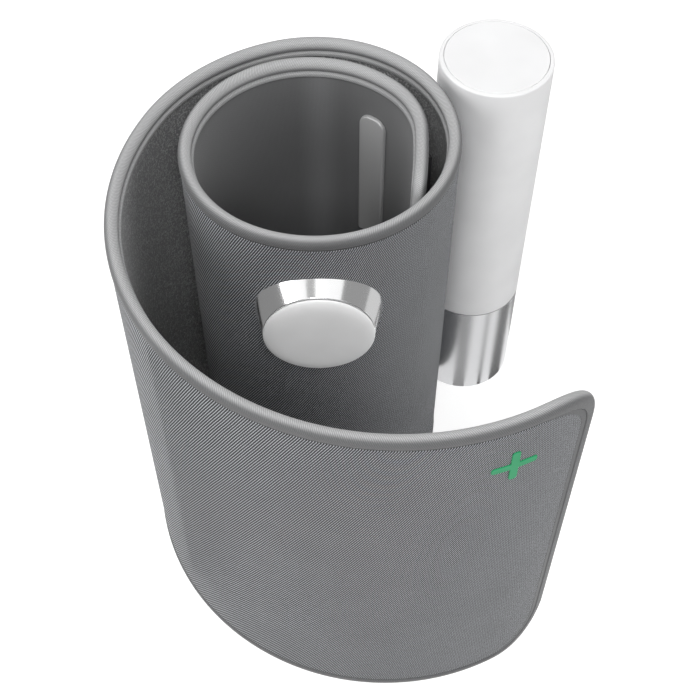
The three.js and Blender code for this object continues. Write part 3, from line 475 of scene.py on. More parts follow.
def bore(piece, holes, depth=0.010):
    """Cuts round holes through a piece: the frame and the radius of each."""
    bm = bmesh.new()
    for place, radius in holes:
        bmesh.ops.create_cone(
            bm, cap_ends=True, segments=32, radius1=radius, radius2=radius, depth=depth, matrix=place
        )
    cutter = add_object(bm, "bore")
    modifier = piece.modifiers.new("Bore", "BOOLEAN")
    modifier.operation = "DIFFERENCE"
    modifier.solver = "EXACT"
    modifier.object = cutter
    depsgraph = bpy.context.evaluated_depsgraph_get()
    depsgraph.update()
    bored = bpy.data.meshes.new_from_object(piece.evaluated_get(depsgraph), depsgraph=depsgraph)
    spent = (piece.data, cutter.data)
    piece.modifiers.clear()
    piece.data = bored
    bored.name = piece.name
    bpy.data.objects.remove(cutter)
    for mesh in spent:
        bpy.data.meshes.remove(mesh)


def seat(piece, body, node):
    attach(piece, body)
    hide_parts(node)


def seat_layer(piece, part, stem):
    """Seats a layer of the wall: the loop's rides the monitor, and the flap's keeps its place baked into its
    mesh.
    """
    if part == "loop":
        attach(piece, "monitor")
    else:
        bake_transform(piece)
    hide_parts(f"{stem}_{part}")


# Shader helpers


class Net:
    """Adds nodes to a node tree, with their inputs by name."""

    def __init__(self, tree):
        self.tree = tree

    def feed(self, socket, value):
        if isinstance(value, bpy.types.NodeSocket):
            self.tree.links.new(value, socket)
        else:
            socket.default_value = value

    def add(self, kind, inputs=None, **settings):
        node = self.tree.nodes.new("ShaderNode" + kind)
        for key, value in settings.items():
            setattr(node, key, value)
        for key, value in (inputs or {}).items():
            self.feed(node.inputs[key], value)
        return node

    def math(self, operation, *values):
        return self.add("Math", dict(enumerate(values)), operation=operation).outputs[0]

    def plus(self, first, second):
        return self.math("ADD", first, second)

    def minus(self, first, second):
        return self.math("SUBTRACT", first, second)

    def times(self, first, second):
        return self.math("MULTIPLY", first, second)

    def hump(self, value):
        """Half a sine wave over each whole step of a value."""
        return self.math("SINE", self.times(self.math("FRACT", value), math.pi))

    def uneven(self, source, noise):
        """A group's roughness, moved by a noise."""
        return self.plus(source["Roughness"], self.times(self.minus(noise, 0.5), source["Spread"]))

    def place(self, kind):
        return self.add("TexCoord").outputs[kind]

    def part(self, vector, axis):
        return self.add("SeparateXYZ", {0: vector}).outputs[axis]

    def scaled(self, vector, factor):
        return self.add("VectorMath", {"Vector": vector, "Scale": factor}, operation="SCALE").outputs[0]

    def noise(self, vector, scale, detail=2.0, roughness=0.5):
        inputs = {"Vector": vector, "Scale": scale, "Detail": detail, "Roughness": roughness}
        return self.add("TexNoise", inputs).outputs[0]

    def spots(self, vector, scale, randomness):
        """How far the nearest of many scattered points lies."""
        inputs = {"Vector": vector, "Scale": scale, "Randomness": randomness}
        return self.add("TexVoronoi", inputs).outputs["Distance"]

    def remap(self, value, low, high, to_low=0.0, to_high=1.0, smooth=False):
        inputs = {"Value": value, "From Min": low, "From Max": high, "To Min": to_low, "To Max": to_high}
        kind = "SMOOTHSTEP" if smooth else "LINEAR"
        return self.add("MapRange", inputs, interpolation_type=kind).outputs[0]

    def blend(self, factor, first, second):
        return self.add("Mix", {0: factor, 2: first, 3: second}).outputs[0]

    def mix(self, factor, first, second):
        return self.add("Mix", {0: factor, 6: first, 7: second}, data_type="RGBA").outputs[2]

    def group(self, tree, **inputs):
        return self.add("Group", inputs, node_tree=tree)


SOCKETS = {
    "Vector": "NodeSocketVector",
    "Stretch": "NodeSocketVector",
    "Dark": "NodeSocketColor",
    "Light": "NodeSocketColor",
    "Color": "NodeSocketColor",
}


def shared_group(name, inputs, outputs):
    """Turns a builder into a getter of its shader node group, which is built once, with named sockets."""

    def wrap(build):
        def get():
            tree = bpy.data.node_groups.get(name)
            if tree:
                return tree
            tree = bpy.data.node_groups.new(name, "ShaderNodeTree")
            for way, keys in (("INPUT", inputs), ("OUTPUT", outputs)):
                for key in keys:
                    kind = SOCKETS.get(key, "NodeSocketFloat")
                    tree.interface.new_socket(name=key, in_out=way, socket_type=kind)
            source = tree.nodes.new("NodeGroupInput").outputs
            target = tree.nodes.new("NodeGroupOutput").inputs
            for key, value in build(Net(tree), source).items():
                tree.links.new(value, target[key])
            return tree

        return get

    return wrap


@shared_group("Yarn ridges", ("Vector", "Pitch", "Angle", "Stitch", "Unevenness"), ("Height", "Yarn"))
def yarn_ridges(net, source):
    """Leaning ridges of yarn, laid like bricks: height and mask."""
    vector, pitch = source["Vector"], source["Pitch"]
    lean = net.times(source["Angle"], -1.0)
    turned = net.add("VectorRotate", {"Vector": vector, "Angle": lean}, rotation_type="Z_AXIS").outputs[0]
    wander = net.noise(vector, net.math("DIVIDE", 0.06, pitch), detail=1.0)
    drift = net.times(net.minus(wander, 0.5), source["Unevenness"])
    across = net.plus(net.math("DIVIDE", net.part(turned, 1), pitch), drift)
    ridge = net.hump(across)
    shift = net.times(net.math("FLOOR", across), 0.37)
    length = net.times(pitch, source["Stitch"])
    stitch = net.hump(net.plus(net.math("DIVIDE", net.part(turned, 0), length), shift))
    height = net.times(ridge, net.math("MULTIPLY_ADD", stitch, 0.35, 0.65))
    lit = net.times(ridge, net.math("MULTIPLY_ADD", stitch, 0.14, 0.86))
    return {"Height": height, "Yarn": net.remap(lit, 0.66, 0.92, smooth=True)}


@shared_group("Cloth tone", ("Vector", "Dark", "Light", "Mask", "Variation"), ("Color",))
def cloth_tone(net, source):
    """Two yarn colours by a mask, with the uneven shade of dyed cloth."""
    mixed = net.mix(source["Mask"], source["Dark"], source["Light"])
    broad = net.noise(source["Vector"], 45.0, detail=3.0)
    fine = net.noise(source["Vector"], 1400.0, detail=1.0)
    both = net.plus(net.times(broad, 0.55), net.times(fine, 0.45))
    low = net.minus(1.0, source["Variation"])
    high = net.plus(1.0, source["Variation"])
    return {"Color": net.scaled(mixed, net.remap(both, 0.3, 0.7, low, high))}


@shared_group("Moulded grain", ("Vector", "Scale", "Roughness", "Spread"), ("Height", "Roughness", "Tone"))
def moulded_grain(net, source):
    """Fine grain of a moulded surface: height, a roughness that wanders and a faint tone."""
    grain = net.noise(source["Vector"], source["Scale"])
    cloud = net.noise(source["Vector"], net.times(source["Scale"], 0.02))
    tone = net.remap(cloud, 0.3, 0.7, 0.97, 1.03)
    return {"Height": grain, "Roughness": net.uneven(source, cloud), "Tone": tone}


@shared_group("Drawn lines", ("Vector", "Stretch", "Roughness", "Spread"), ("Height", "Roughness"))
def drawn_lines(net, source):
    """Fine lines that run one way on a metal surface: height and roughness."""
    stretched = net.add("VectorMath", {0: source["Vector"], 1: source["Stretch"]}, operation="MULTIPLY")
    lines = net.noise(stretched.outputs[0], 1.0, detail=3.0, roughness=0.6)
    return {"Height": lines, "Roughness": net.uneven(source, lines)}


def new_material(title, **shader):
    """A material, its net and its Principled shader, with plain values on the shader's own sockets."""
    material = bpy.data.materials.new(title)
    material.use_nodes = True
    surface = material.node_tree.nodes["Principled BSDF"]
    for key, value in shader.items():
        surface.inputs[key.replace("_", " ")].default_value = value
    return material, Net(material.node_tree), surface


def bump(net, surface, height, distance, strength):
    node = net.add("Bump", {"Height": height, "Distance": distance, "Strength": strength})
    net.feed(surface.inputs["Normal"], node.outputs[0])


def dye(net, surface, cloth, dark, light, mask, variation):
    tone = net.group(cloth_tone(), Vector=cloth, Dark=dark, Light=light, Mask=mask, Variation=variation)
    net.feed(surface.inputs["Base Color"], tone.outputs["Color"])


def shade(values, factor=1.0):
    return (*[min(1.0, value * factor) for value in values], 1.0)


# Finishes


def outer_twill(title):
    material, net, surface = new_material(
        title, Roughness=0.72, Specular_IOR_Level=0.35, Sheen_Weight=0.12, Sheen_Roughness=0.45
    )
    colours = bpy.context.scene.monitor_finish
    cloth = net.place("UV")
    pitch, lean = colours.twill_pitch, colours.twill_angle
    yarn = net.group(yarn_ridges(), Vector=cloth, Pitch=pitch, Angle=lean, Stitch=2.2, Unevenness=0.35)
    dark, light = shade(colours.twill_dark), shade(colours.twill_light)
    dye(net, surface, cloth, dark, light, yarn.outputs["Yarn"], 0.09)
    bump(net, surface, yarn.outputs["Height"], 0.00014, 0.7)
    return material


def ribbed_cloth(title, draw, lean):
    """A flat woven tape with fine leaning ribs; its light yarn is drawn from its place across the tape."""
    material, net, surface = new_material(
        title, Roughness=0.6, Specular_IOR_Level=0.4, Sheen_Weight=0.12, Sheen_Roughness=0.4
    )
    cloth = net.place("UV")
    pitch = bpy.context.scene.monitor_finish.tape_pitch
    ribs = net.group(
        yarn_ridges(), Vector=cloth, Pitch=pitch, Angle=math.radians(lean), Stitch=3.0, Unevenness=0.2
    )
    light = draw(net, net.part(cloth, 1))
    dark = net.mix(0.42, light, (0.04, 0.04, 0.042, 1))
    dye(net, surface, cloth, dark, light, ribs.outputs["Yarn"], 0.05)
    bump(net, surface, ribs.outputs["Height"], 0.00008, 0.6)
    return material


def binding_tape(title):
    """The binding tape, with painted light: its fold is painted lighter than its sides as top light, and its
    raised flange carries a painted highlight.
    """
    colours = bpy.context.scene.monitor_finish
    half = bpy.context.scene.monitor_cuff.tape_half
    fold = tape_fold_middle()

    def draw(net, around):
        # outer and inner: painted top light, lightest on the fold's crown and falling to the darker sides;
        # ledge: a painted highlight on the raised flange.
        outer = net.remap(around, fold - half * 0.95, fold - half * 0.05, smooth=True)
        inner = net.remap(around, fold + half * 1.4, fold + half * 2.2, 1.0, 0.1, smooth=True)
        ledge = net.remap(around, fold + half * 2.5, fold + half * 2.7, 0.0, 0.75, smooth=True)
        painted_light = net.math("MAXIMUM", net.math("MINIMUM", outer, inner), ledge)
        return net.mix(painted_light, shade(colours.tape, 1.12), shade(colours.crown, 1.12))

    return ribbed_cloth(title, draw, 62)


def pressed_hem(title):
    """The pressed hem, in shadow where it is a narrow seam beside the long edges' tape."""
    colours = bpy.context.scene.monitor_finish
    cuff = bpy.context.scene.monitor_cuff
    seam = CUFF_HEIGHT / 2 - cuff.tape_outside - cuff.hem_width

    def draw(net, level):
        away = net.math("ABSOLUTE", net.minus(level, CUFF_HEIGHT / 2))
        narrow = net.remap(away, seam - 0.0003, seam, smooth=True)
        return net.mix(narrow, shade(colours.hem), shade(colours.hem, 0.25))

    return ribbed_cloth(title, draw, 90)


def lining_cloth(title):
    """Smooth knit with a painted sheen highlight, a paler upright band inside the arm loop, and looped pile
    on the outer turn.
    """
    material, net, surface = new_material(
        title, Roughness=0.66, Specular_IOR_Level=0.35, Sheen_Weight=0.3, Sheen_Roughness=0.5
    )
    colours = bpy.context.scene.monitor_finish
    cloth = net.place("UV")
    station = net.part(cloth, 0)
    outer_turn = net.remap(station, PILE_STATION, PILE_STATION + 0.0006)
    upright = math.radians(90)
    knit = net.group(yarn_ridges(), Vector=cloth, Pitch=0.00045, Angle=upright, Stitch=2.0, Unevenness=0.5)
    clumps = net.noise(cloth, 500.0, detail=4.0, roughness=0.7)
    loops = net.minus(1.0, net.spots(cloth, 1500.0, 1.0))
    fuzz = net.remap(net.times(loops, clumps), 0.22, 0.50)
    mask = net.blend(outer_turn, knit.outputs["Height"], fuzz)
    # A paler upright band round this station is a painted sheen highlight on the lining.
    beside = net.math("ABSOLUTE", net.minus(station, LINING_SHEEN_STATION))
    painted_sheen = net.remap(beside, 0.0, 0.009, smooth=True)
    smooth_dark = net.mix(painted_sheen, shade(colours.lining, 1.15), shade(colours.lining, 0.78))
    smooth_light = net.mix(painted_sheen, shade(colours.lining, 1.50), shade(colours.lining, 1.05))
    dark = net.mix(outer_turn, smooth_dark, shade(colours.pile, 0.55))
    light = net.mix(outer_turn, smooth_light, shade(colours.pile, 1.75))
    dye(net, surface, cloth, dark, light, mask, 0.05)
    depth = net.times(mask, net.remap(outer_turn, 0.0, 1.0, 0.00004, 0.0003))
    bump(net, surface, depth, 1.0, 0.8)
    return material


def hook_cloth(title):
    material, net, surface = new_material(title, Roughness=0.8, Specular_IOR_Level=0.3, Sheen_Weight=0.3)
    base = bpy.context.scene.monitor_finish.hook
    cloth = net.place("UV")
    stems = net.remap(net.spots(cloth, 900.0, 0.55), 0.1, 0.55, 1.0, 0.0)
    dye(net, surface, cloth, shade(base, 0.5), shade(base, 1.8), stems, 0.1)
    bump(net, surface, stems, 0.0004, 0.8)
    return material


def base_colour(base):
    """A plain colour, or the user's colour of that name."""
    return getattr(bpy.context.scene.monitor_finish, base)[:3] if isinstance(base, str) else base


def moulding(title, base, roughness, scale=2600.0, depth=0.00001, spread=0.08, **shader):
    """A moulded plastic or rubber with its own grain."""
    material, net, surface = new_material(title, **shader)
    place = net.place("Object")
    grain = net.group(moulded_grain(), Vector=place, Scale=scale, Roughness=roughness, Spread=spread)
    net.feed(surface.inputs["Base Color"], net.scaled(base_colour(base), grain.outputs["Tone"]))
    net.feed(surface.inputs["Roughness"], grain.outputs["Roughness"])
    bump(net, surface, grain.outputs["Height"], depth, 0.35)
    return material


def metal(title, base, roughness, stretch, Metallic=1.0, **shader):
    """A drawn, turned or polished metal."""
    tone = (*base_colour(base), 1.0)
    material, net, surface = new_material(title, Base_Color=tone, Metallic=Metallic, **shader)
    place = net.place("Object")
    lines = net.group(drawn_lines(), Vector=place, Stretch=stretch, Roughness=roughness, Spread=0.06)
    net.feed(surface.inputs["Roughness"], lines.outputs["Roughness"])
    bump(net, surface, lines.outputs["Height"], 0.000004, 0.3)
    return material


def board(title):
    """Green lacquer over copper tracks."""
    material, net, surface = new_material(title, Roughness=0.35)
    inputs = {
        "Vector": net.scaled(net.place("Object"), 220.0),
        "Color1": (0.02, 0.11, 0.055, 1),
        "Color2": (0.015, 0.085, 0.04, 1),
        "Mortar": (0.06, 0.2, 0.09, 1),
        "Scale": 1.0,
        "Mortar Size": 0.03,
    }
    tracks = net.add("TexBrick", inputs)
    net.feed(surface.inputs["Base Color"], tracks.outputs["Color"])
    bump(net, surface, tracks.outputs["Fac"], 0.00003, 0.4)
    return material


# Each finish: the material's name, what makes it and its recipe
FINISHES = {
    "twill": ("Outer twill", outer_twill, {}),
    "tape": ("Binding tape", binding_tape, {}),
    "hem": ("Pressed hem", pressed_hem, {}),
    "lining": ("Lining", lining_cloth, {}),
    "hook": ("Hook cloth", hook_cloth, {}),
    "board": ("Circuit board", board, {}),
    "plus": ("Plus print", moulding, dict(base="plus", roughness=0.5, scale=1800.0, Specular_IOR_Level=0.4)),
    "white": ("White plastic", moulding, dict(base="white", roughness=0.42, spread=0.06)),
    "cap": ("Cap plastic", moulding, dict(base="cap", roughness=0.5, scale=3200.0)),
    "dark": ("Dark plastic", moulding, dict(base="dark", roughness=0.5, scale=2200.0, depth=0.00003)),
    "rubber": ("Soft rubber", moulding, dict(base=(0.02, 0.021, 0.023), roughness=0.75, depth=0.00003)),
    "core": ("Stiffener sheet", moulding, dict(base=(0.56, 0.57, 0.58), roughness=0.55, scale=1500.0)),
    "pouch": (
        "Pouch film", moulding, dict(base=(0.05, 0.075, 0.10), roughness=0.35, scale=900.0, depth=0.00004)
    ),
    "wrap": (
        "Cell wrap", moulding, dict(base=(0.03, 0.16, 0.38), roughness=0.3, scale=700.0, Coat_Weight=0.3)
    ),
    "plate": ("Wall plate", moulding, dict(base="plate", roughness=0.7, scale=2200.0, depth=0.00004)),
    "chrome": ("Polished metal", metal, dict(base="chrome", roughness=0.15, stretch=(900.0,) * 3)),
    "band": (
        "Turned metal",
        metal,
        dict(base="band", roughness=0.24, stretch=(60.0, 60.0, 2600.0), Anisotropic=0.75),
    ),
    "satin": (
        "Satin metal", metal, dict(base="satin", roughness=0.48, stretch=(2600.0, 2600.0, 60.0), Metallic=0.3)
    ),
    "steel": ("Plain steel", metal, dict(base=(0.52, 0.53, 0.54), roughness=0.30, stretch=(1500.0,) * 3)),
}


def finish(look):
    """The material of one finish, made the first time that it is asked for."""
    title, make, recipe = FINISHES[look]
    return bpy.data.materials.get(title) or make(title, **recipe)


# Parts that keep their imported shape, by finish
KEPT_PARTS = {
    "white": "end_cap",
    "cap": "pump_rotor pressure_sensor air_fitting",
    "dark": "chassis pump_head air_manifold sensor_microphone tube_saddle",
    "plate": "saddle_plate",
    "rubber": "valve_plunger",
    "wrap": "battery_cell",
    "board": "main_board display_board switch_board sensor_board",
    "satin": "signal_ribbon",
    "steel": "pump_motor valve_body button_dome charging_port end_cap_screw_1 end_cap_screw_2 sensor_screw_1"
    " sensor_screw_2 sensor_screw_3 saddle_screw_1 saddle_screw_2 tube_screw_1 tube_screw_2",
}


# Cuff pieces


def tube_bores(screw_heights, fitting=True):
    """Holes in line with the tube for the screws and the air fitting."""
    holes = [(cuff_frame(TUBE_STATION, height), SCREW_HOLE) for height in screw_heights]
    if fitting:
        holes.append((cuff_frame(TUBE_STATION, FITTING_HEIGHT), FITTING_HOLE))
    return holes


def wall_bores(fitting=True):
    """Holes through the loop's wall at the sensor head and the saddle."""
    return [(HEAD_PLACE, HEAD_HOLE), *tube_bores(SADDLE_SCREW_HEIGHTS, fitting)]


def panel_outline(part, margin):
    """The flat outline of the loop's or the flap's wall, inset from its edge, and longer than the join."""
    cuff = bpy.context.scene.monitor_cuff
    low, high = margin, CUFF_HEIGHT - margin
    if part == "loop":
        tip, far, corner = margin, JOIN_STATION + JOIN_LAP, max(cuff.inner_corner - margin, 0.0004)
    else:
        tip, far, corner = CUFF_LENGTH - margin, JOIN_STATION - JOIN_LAP, cuff.free_corner - margin
    return outline(((tip, low), (far, low), (far, high), (tip, high)), (corner, 0, 0, corner))


def trim_at_join(bm, part):
    """Cuts a flat slab off where the loop and the flap meet, and closes the cut."""
    toward = (1 if part == "loop" else -1, 0, 0)
    bmesh.ops.bisect_plane(
        bm, geom=everything(bm), plane_co=(JOIN_STATION, 0, 0), plane_no=toward, clear_outer=True
    )
    bmesh.ops.holes_fill(bm, edges=[edge for edge in bm.edges if edge.is_boundary], sides=0)


def flat_panel(part, margin, depths):
    """A plain closed layer of the wall, rolled up."""
    bm = panel_outline(part, margin)
    thicken(bm, *depths)
    trim_at_join(bm, part)
    slice_and_roll(bm, bpy.context.scene.monitor_cuff.roll_step * HIDDEN_STRIP)
    return bm


def draw_back_end(bm, face, extra):
    """Moves the corners and the end of the flap's face back from the free end."""
    start = CUFF_LENGTH - bpy.context.scene.monitor_cuff.free_corner - END_MARGIN
    ends = [vert for vert in face.verts if vert.co.x > start]
    bmesh.ops.translate(bm, vec=(-extra, 0, 0), verts=ends)


class MONITOR_OT_outer_twill(bpy.types.Operator):
    """Makes the twill on the outside of the cuff, with its pressed hem"""

    bl_idname = "monitor.outer_twill"
    bl_label = "Outer twill"

    def execute(self, context):
        cuff = context.scene.monitor_cuff
        margin = cuff.tape_outside + TWILL_EDGE
        beside_head = (SENSOR_HEIGHT - HOLE_BAND, SENSOR_HEIGHT + HOLE_BAND)
        for part in ("loop", "flap"):
            bm = panel_outline(part, margin)
            if part == "flap":
                draw_back_end(bm, next(iter(bm.faces)), TAPE_END_EXTRA)
            front = thicken(bm, FABRIC[0], FABRIC[1] - TWILL_EDGE)
            inset(bm, front, TWILL_EDGE, TWILL_EDGE, slot=1)
            inset(bm, front, cuff.hem_width, 0.0, slot=1)
            if part == "flap":
                draw_back_end(bm, front, HEM_END_EXTRA)
            inset(bm, front, GROOVE, -GROOVE, slot=1)
            inset(bm, front, GROOVE, GROOVE)
            trim_at_join(bm, part)
            slice_and_roll(bm, cuff.roll_step, beside_head if part == "loop" else ())
            piece = make_piece(bm, f"twill_{part}", "twill", "hem")
            if part == "loop":
                bore(piece, wall_bores())
            seat_layer(piece, part, "outer_fabric")
        return {"FINISHED"}


class MONITOR_OT_lining(bpy.types.Operator):
    """Makes the lining on the inside of the cuff"""

    bl_idname = "monitor.lining"
    bl_label = "Lining"

    def execute(self, context):
        cuff = context.scene.monitor_cuff
        margin = cuff.tape_inside + cuff.tape_flange + LINING_GAP
        for part in ("loop", "flap"):
            piece = make_piece(flat_panel(part, margin, LINING), f"lining_cloth_{part}", "lining")
            if part == "loop":
                bore(piece, wall_bores(fitting=False))
            seat_layer(piece, part, "lining")
        return {"FINISHED"}


def tape_section(cuff):
    """The folded tape's section as (into the cuff, out of the wall): its outer lip, its fold and its seam."""
    half, outside, inside = cuff.tape_half, cuff.tape_outside, cuff.tape_inside
    end = inside + cuff.tape_flange
    raised = -half - cuff.flange_rise
    turns = [math.pi * i / 14 for i in range(15)]
    return [
        (TAPE_WEB, FABRIC[0]),
        (outside, FABRIC[0]),
        (outside, half - 0.00022),
        (outside - 0.00012, half - 0.00006),
        (outside - 0.00035, half),
        *[(half - half * math.sin(turn), half * math.cos(turn)) for turn in turns],
        (inside - 0.0006, -half),
        (inside - 0.00018, -half + 0.00014),
        (inside, -half + 0.00046),
        (inside + 0.00012, -half + 0.00040),
        (inside + 0.00016, raised + 0.00030),
        (inside + 0.00030, raised + 0.00008),
        (inside + 0.00055, raised),
        (end - 0.00045, raised),
        (end - 0.00015, raised + 0.00010),
        (end, raised + 0.00035),
        (end, LINING[1]),
        (TAPE_WEB, LINING[1]),
    ]


TAPE_LIP = range(1, 5)


def reaches(section):
    """How far round a section each of its points lies."""
    reach = [0.0]
    for pair in zip(section, section[1:]):
        reach.append(reach[-1] + math.dist(*pair))
    return reach


def tape_fold_middle():
    """How far round the tape's section the middle of its fold lies."""
    section = tape_section(bpy.context.scene.monitor_cuff)
    return next(reach for (into, _), reach in zip(section, reaches(section)) if into < 1e-9)


def swept_tape(part):
    """The tape's section swept round the flat outline: from the join along the bottom, up and back."""
    cuff = bpy.context.scene.monitor_cuff
    section = tape_section(cuff)
    if part == "loop":
        start, tip, toward, corner = 0.0, 0.0, -1, cuff.inner_corner
    else:
        start, tip, toward, corner = JOIN_STATION, CUFF_LENGTH, 1, cuff.free_corner
    bm = bmesh.new()
    along = bm.verts.layers.float.new("along")
    around = bm.verts.layers.float.new("around")
    verts = [bm.verts.new((JOIN_STATION, *point)) for point in section]
    for vert, reach in zip(verts, reaches(section)):
        vert[along] = start
        vert[around] = reach
    first = [bm.edges.new(pair) for pair in zip(verts, verts[1:] + verts[:1])]
    last = verts + first
    straight = abs(tip - JOIN_STATION) - corner
    quarter = corner * math.pi / 2
    middle = tip - toward * corner
    still = (0, 0, 0)
    runs = [
        (straight, (toward, 0, 0), None),
        (quarter, still, (middle, corner, 0)),
        (CUFF_HEIGHT - 2 * corner, (0, 1, 0), None),
        (quarter, still, (middle, CUFF_HEIGHT - corner, 0)),
        (straight, (-toward, 0, 0), None),
    ]
    travelled = start
    for length, direction, centre in runs:
        steps = 24 if direction[1] else max(8, round(length / cuff.roll_step))
        before = len(bm.verts)
        last = bmesh.ops.spin(
            bm,
            geom=last,
            cent=centre or still,
            axis=(0, 0, 1),
            angle=toward * math.pi / 2 if centre else 0.0,
            dvec=Vector(direction) * length / steps,
            steps=steps,
        )["geom_last"]
        bm.verts.ensure_lookup_table()
        for i in range(before, len(bm.verts)):
            ring = (i - before) // len(section) + 1
            bm.verts[i][along] = travelled + length * ring / steps
        travelled += length
    bmesh.ops.contextual_create(bm, geom=first)
    bmesh.ops.contextual_create(bm, geom=[item for item in last if isinstance(item, bmesh.types.BMEdge)])
    bmesh.ops.recalc_face_normals(bm, faces=bm.faces)
    layer = bm.loops.layers.uv.new("UVMap")
    for face in bm.faces:
        for loop in face.loops:
            loop[layer].uv = (loop.vert[along], loop.vert[around])
    if part == "flap":
        lip = [v for v in bm.verts if v.index % len(section) in TAPE_LIP and v.co.x > middle + 1e-6]
        bmesh.ops.translate(bm, vec=(-TAPE_END_EXTRA, 0, 0), verts=lip)
    roll_up(bm)
    girth = reaches(section)[-1] + math.dist(section[-1], section[0])
    return bm, girth / 2, travelled - start


class MONITOR_OT_edge_tape(bpy.types.Operator):
    """Makes the folded tape that binds the cuff's edge"""

    bl_idname = "monitor.edge_tape"
    bl_label = "Edge tape"

    def execute(self, context):
        for part in ("loop", "flap"):
            bm, width, length = swept_tape(part)
            piece = make_piece(bm, f"edge_tape_{part}", "tape", sharp=50)
            seat_layer(piece, part, "edge_binding")
        return {"FINISHED"}


class MONITOR_OT_inner_layers(bpy.types.Operator):
    """Makes the stiffener sheet and the air pouch inside the cuff's wall"""

    bl_idname = "monitor.inner_layers"
    bl_label = "Stiffener and air pouch"

    def execute(self, context):
        for part, depths in CORE.items():
            core = make_piece(flat_panel(part, CORE_MARGIN, depths), f"core_sheet_{part}", "core")
            if part == "loop":
                bore(core, wall_bores())
            seat_layer(core, part, "stiffener")

        near, far, neck = 0.022, 0.254, TUBE_STATION + 0.006
        shoulder = far + 0.014
        low, high = POUCH_MARGIN, CUFF_HEIGHT - POUCH_MARGIN
        neck_low, neck_high = FITTING_HEIGHT - 0.006, FITTING_HEIGHT + 0.006
        points = (
            (near, low),
            (far, low),
            (shoulder, neck_low),
            (neck, neck_low),
            (neck, neck_high),
            (shoulder, neck_high),
            (far, high),
            (near, high),
        )
        bm = outline(points, (0.008, 0.006, 0.006, 0.004, 0.004, 0.006, 0.006, 0.008))
        front = thicken(bm, POUCH[0], POUCH[1] - WELD_RISE)
        inset(bm, front, WELD_WIDTH, 0.0)
        inset(bm, front, WELD_SLOPE, WELD_RISE)
        slice_and_roll(bm, context.scene.monitor_cuff.roll_step * HIDDEN_STRIP)
        pouch = make_piece(bm, "air_pouch", "pouch")
        bore(pouch, [(HEAD_PLACE, POUCH_HOLE)])
        seat(pouch, "monitor", "air_bladder")
        return {"FINISHED"}


# Trim on the cuff


class MONITOR_OT_arm_electrode(bpy.types.Operator):
    """Makes the flat electrode strip inside the arm loop"""

    bl_idname = "monitor.arm_electrode"
    bl_label = "Arm electrode"

    def execute(self, context):
        trim = context.scene.monitor_trim
        half = trim.electrode_width / 2
        top, bottom = trim.electrode_top, trim.electrode_top - trim.electrode_length
        left, right = ELECTRODE_STATION - half, ELECTRODE_STATION + half
        points = ((left, bottom), (right, bottom), (right, top), (left, top))
        bm = outline(points, ELECTRODE_CORNERS)
        bmesh.ops.remove_doubles(bm, verts=bm.verts, dist=2e-5)
        face = -SURFACE - ELECTRODE_GAP - trim.electrode_thickness
        thicken(bm, face, -SURFACE + 0.0001)
        soften(bm, ELECTRODE_EDGE, face, segments=4)
        slice_and_roll(bm, ELECTRODE_STRIP)
        seat(make_piece(bm, "arm_electrode", "satin"), "monitor", "electrode_strip")
        return {"FINISHED"}


class MONITOR_OT_flap_trim(bpy.types.Operator):
    """Makes the plus mark and the hook patch near the flap's free end"""

    bl_idname = "monitor.flap_trim"
    bl_label = "Plus mark and hook patch"

    def execute(self, context):
        trim = context.scene.monitor_trim
        middle = CUFF_LENGTH - trim.plus_from_end
        level = CUFF_HEIGHT - trim.plus_from_top
        arm, half = trim.plus_size / 2, trim.plus_stroke / 2
        points = []
        for quarter in range(4):
            turn = Matrix.Rotation(quarter * math.pi / 2, 2)
            corners = [turn @ Vector(corner) for corner in ((half, half), (half, arm), (-half, arm))]
            points += [(middle + corner.x, level + corner.y) for corner in corners]
        bm = outline(points, (0.0002, 0.0009, 0.0009) * 4)
        surface = FABRIC[1] + 0.00002
        front = thicken(bm, surface, surface + PLUS_THICKNESS - PLUS_EDGE)
        inset(bm, front, 0.00014, PLUS_EDGE)
        slice_and_roll(bm, PLUS_STRIP)
        seat(make_piece(bm, "plus_print", "plus"), "flap", "plus_mark")

        far = CUFF_LENGTH - trim.hook_from_end
        near = far - trim.hook_length
        low, high = trim.hook_margin, CUFF_HEIGHT - trim.hook_margin
        bm = outline(((near, low), (far, low), (far, high), (near, high)), (HOOK_CORNER,) * 4)
        back = -SURFACE - HOOK_THICKNESS
        thicken(bm, back, LINING[0] - 0.0001)
        soften(bm, 0.0002, back)
        slice_and_roll(bm, HOOK_STRIP)
        hook = make_piece(bm, "hook_patch", "hook")
        seat(hook, "flap", "hook_pad")
        return {"FINISHED"}


# Sensor head


def bore_head(piece):
    """Opens a piece of the sensor head for the microphone and the three screws."""
    holes = [(HEAD_PLACE, MICROPHONE_HOLE)]
    for i in range(3):
        clock = math.pi / 2 + math.tau * i / 3
        offset = Vector((math.cos(clock), math.sin(clock), 0.0)) * HEAD_SCREW_CIRCLE
        holes.append((HEAD_PLACE @ Matrix.Translation(offset), SCREW_HOLE))
    bore(piece, holes, depth=0.02)


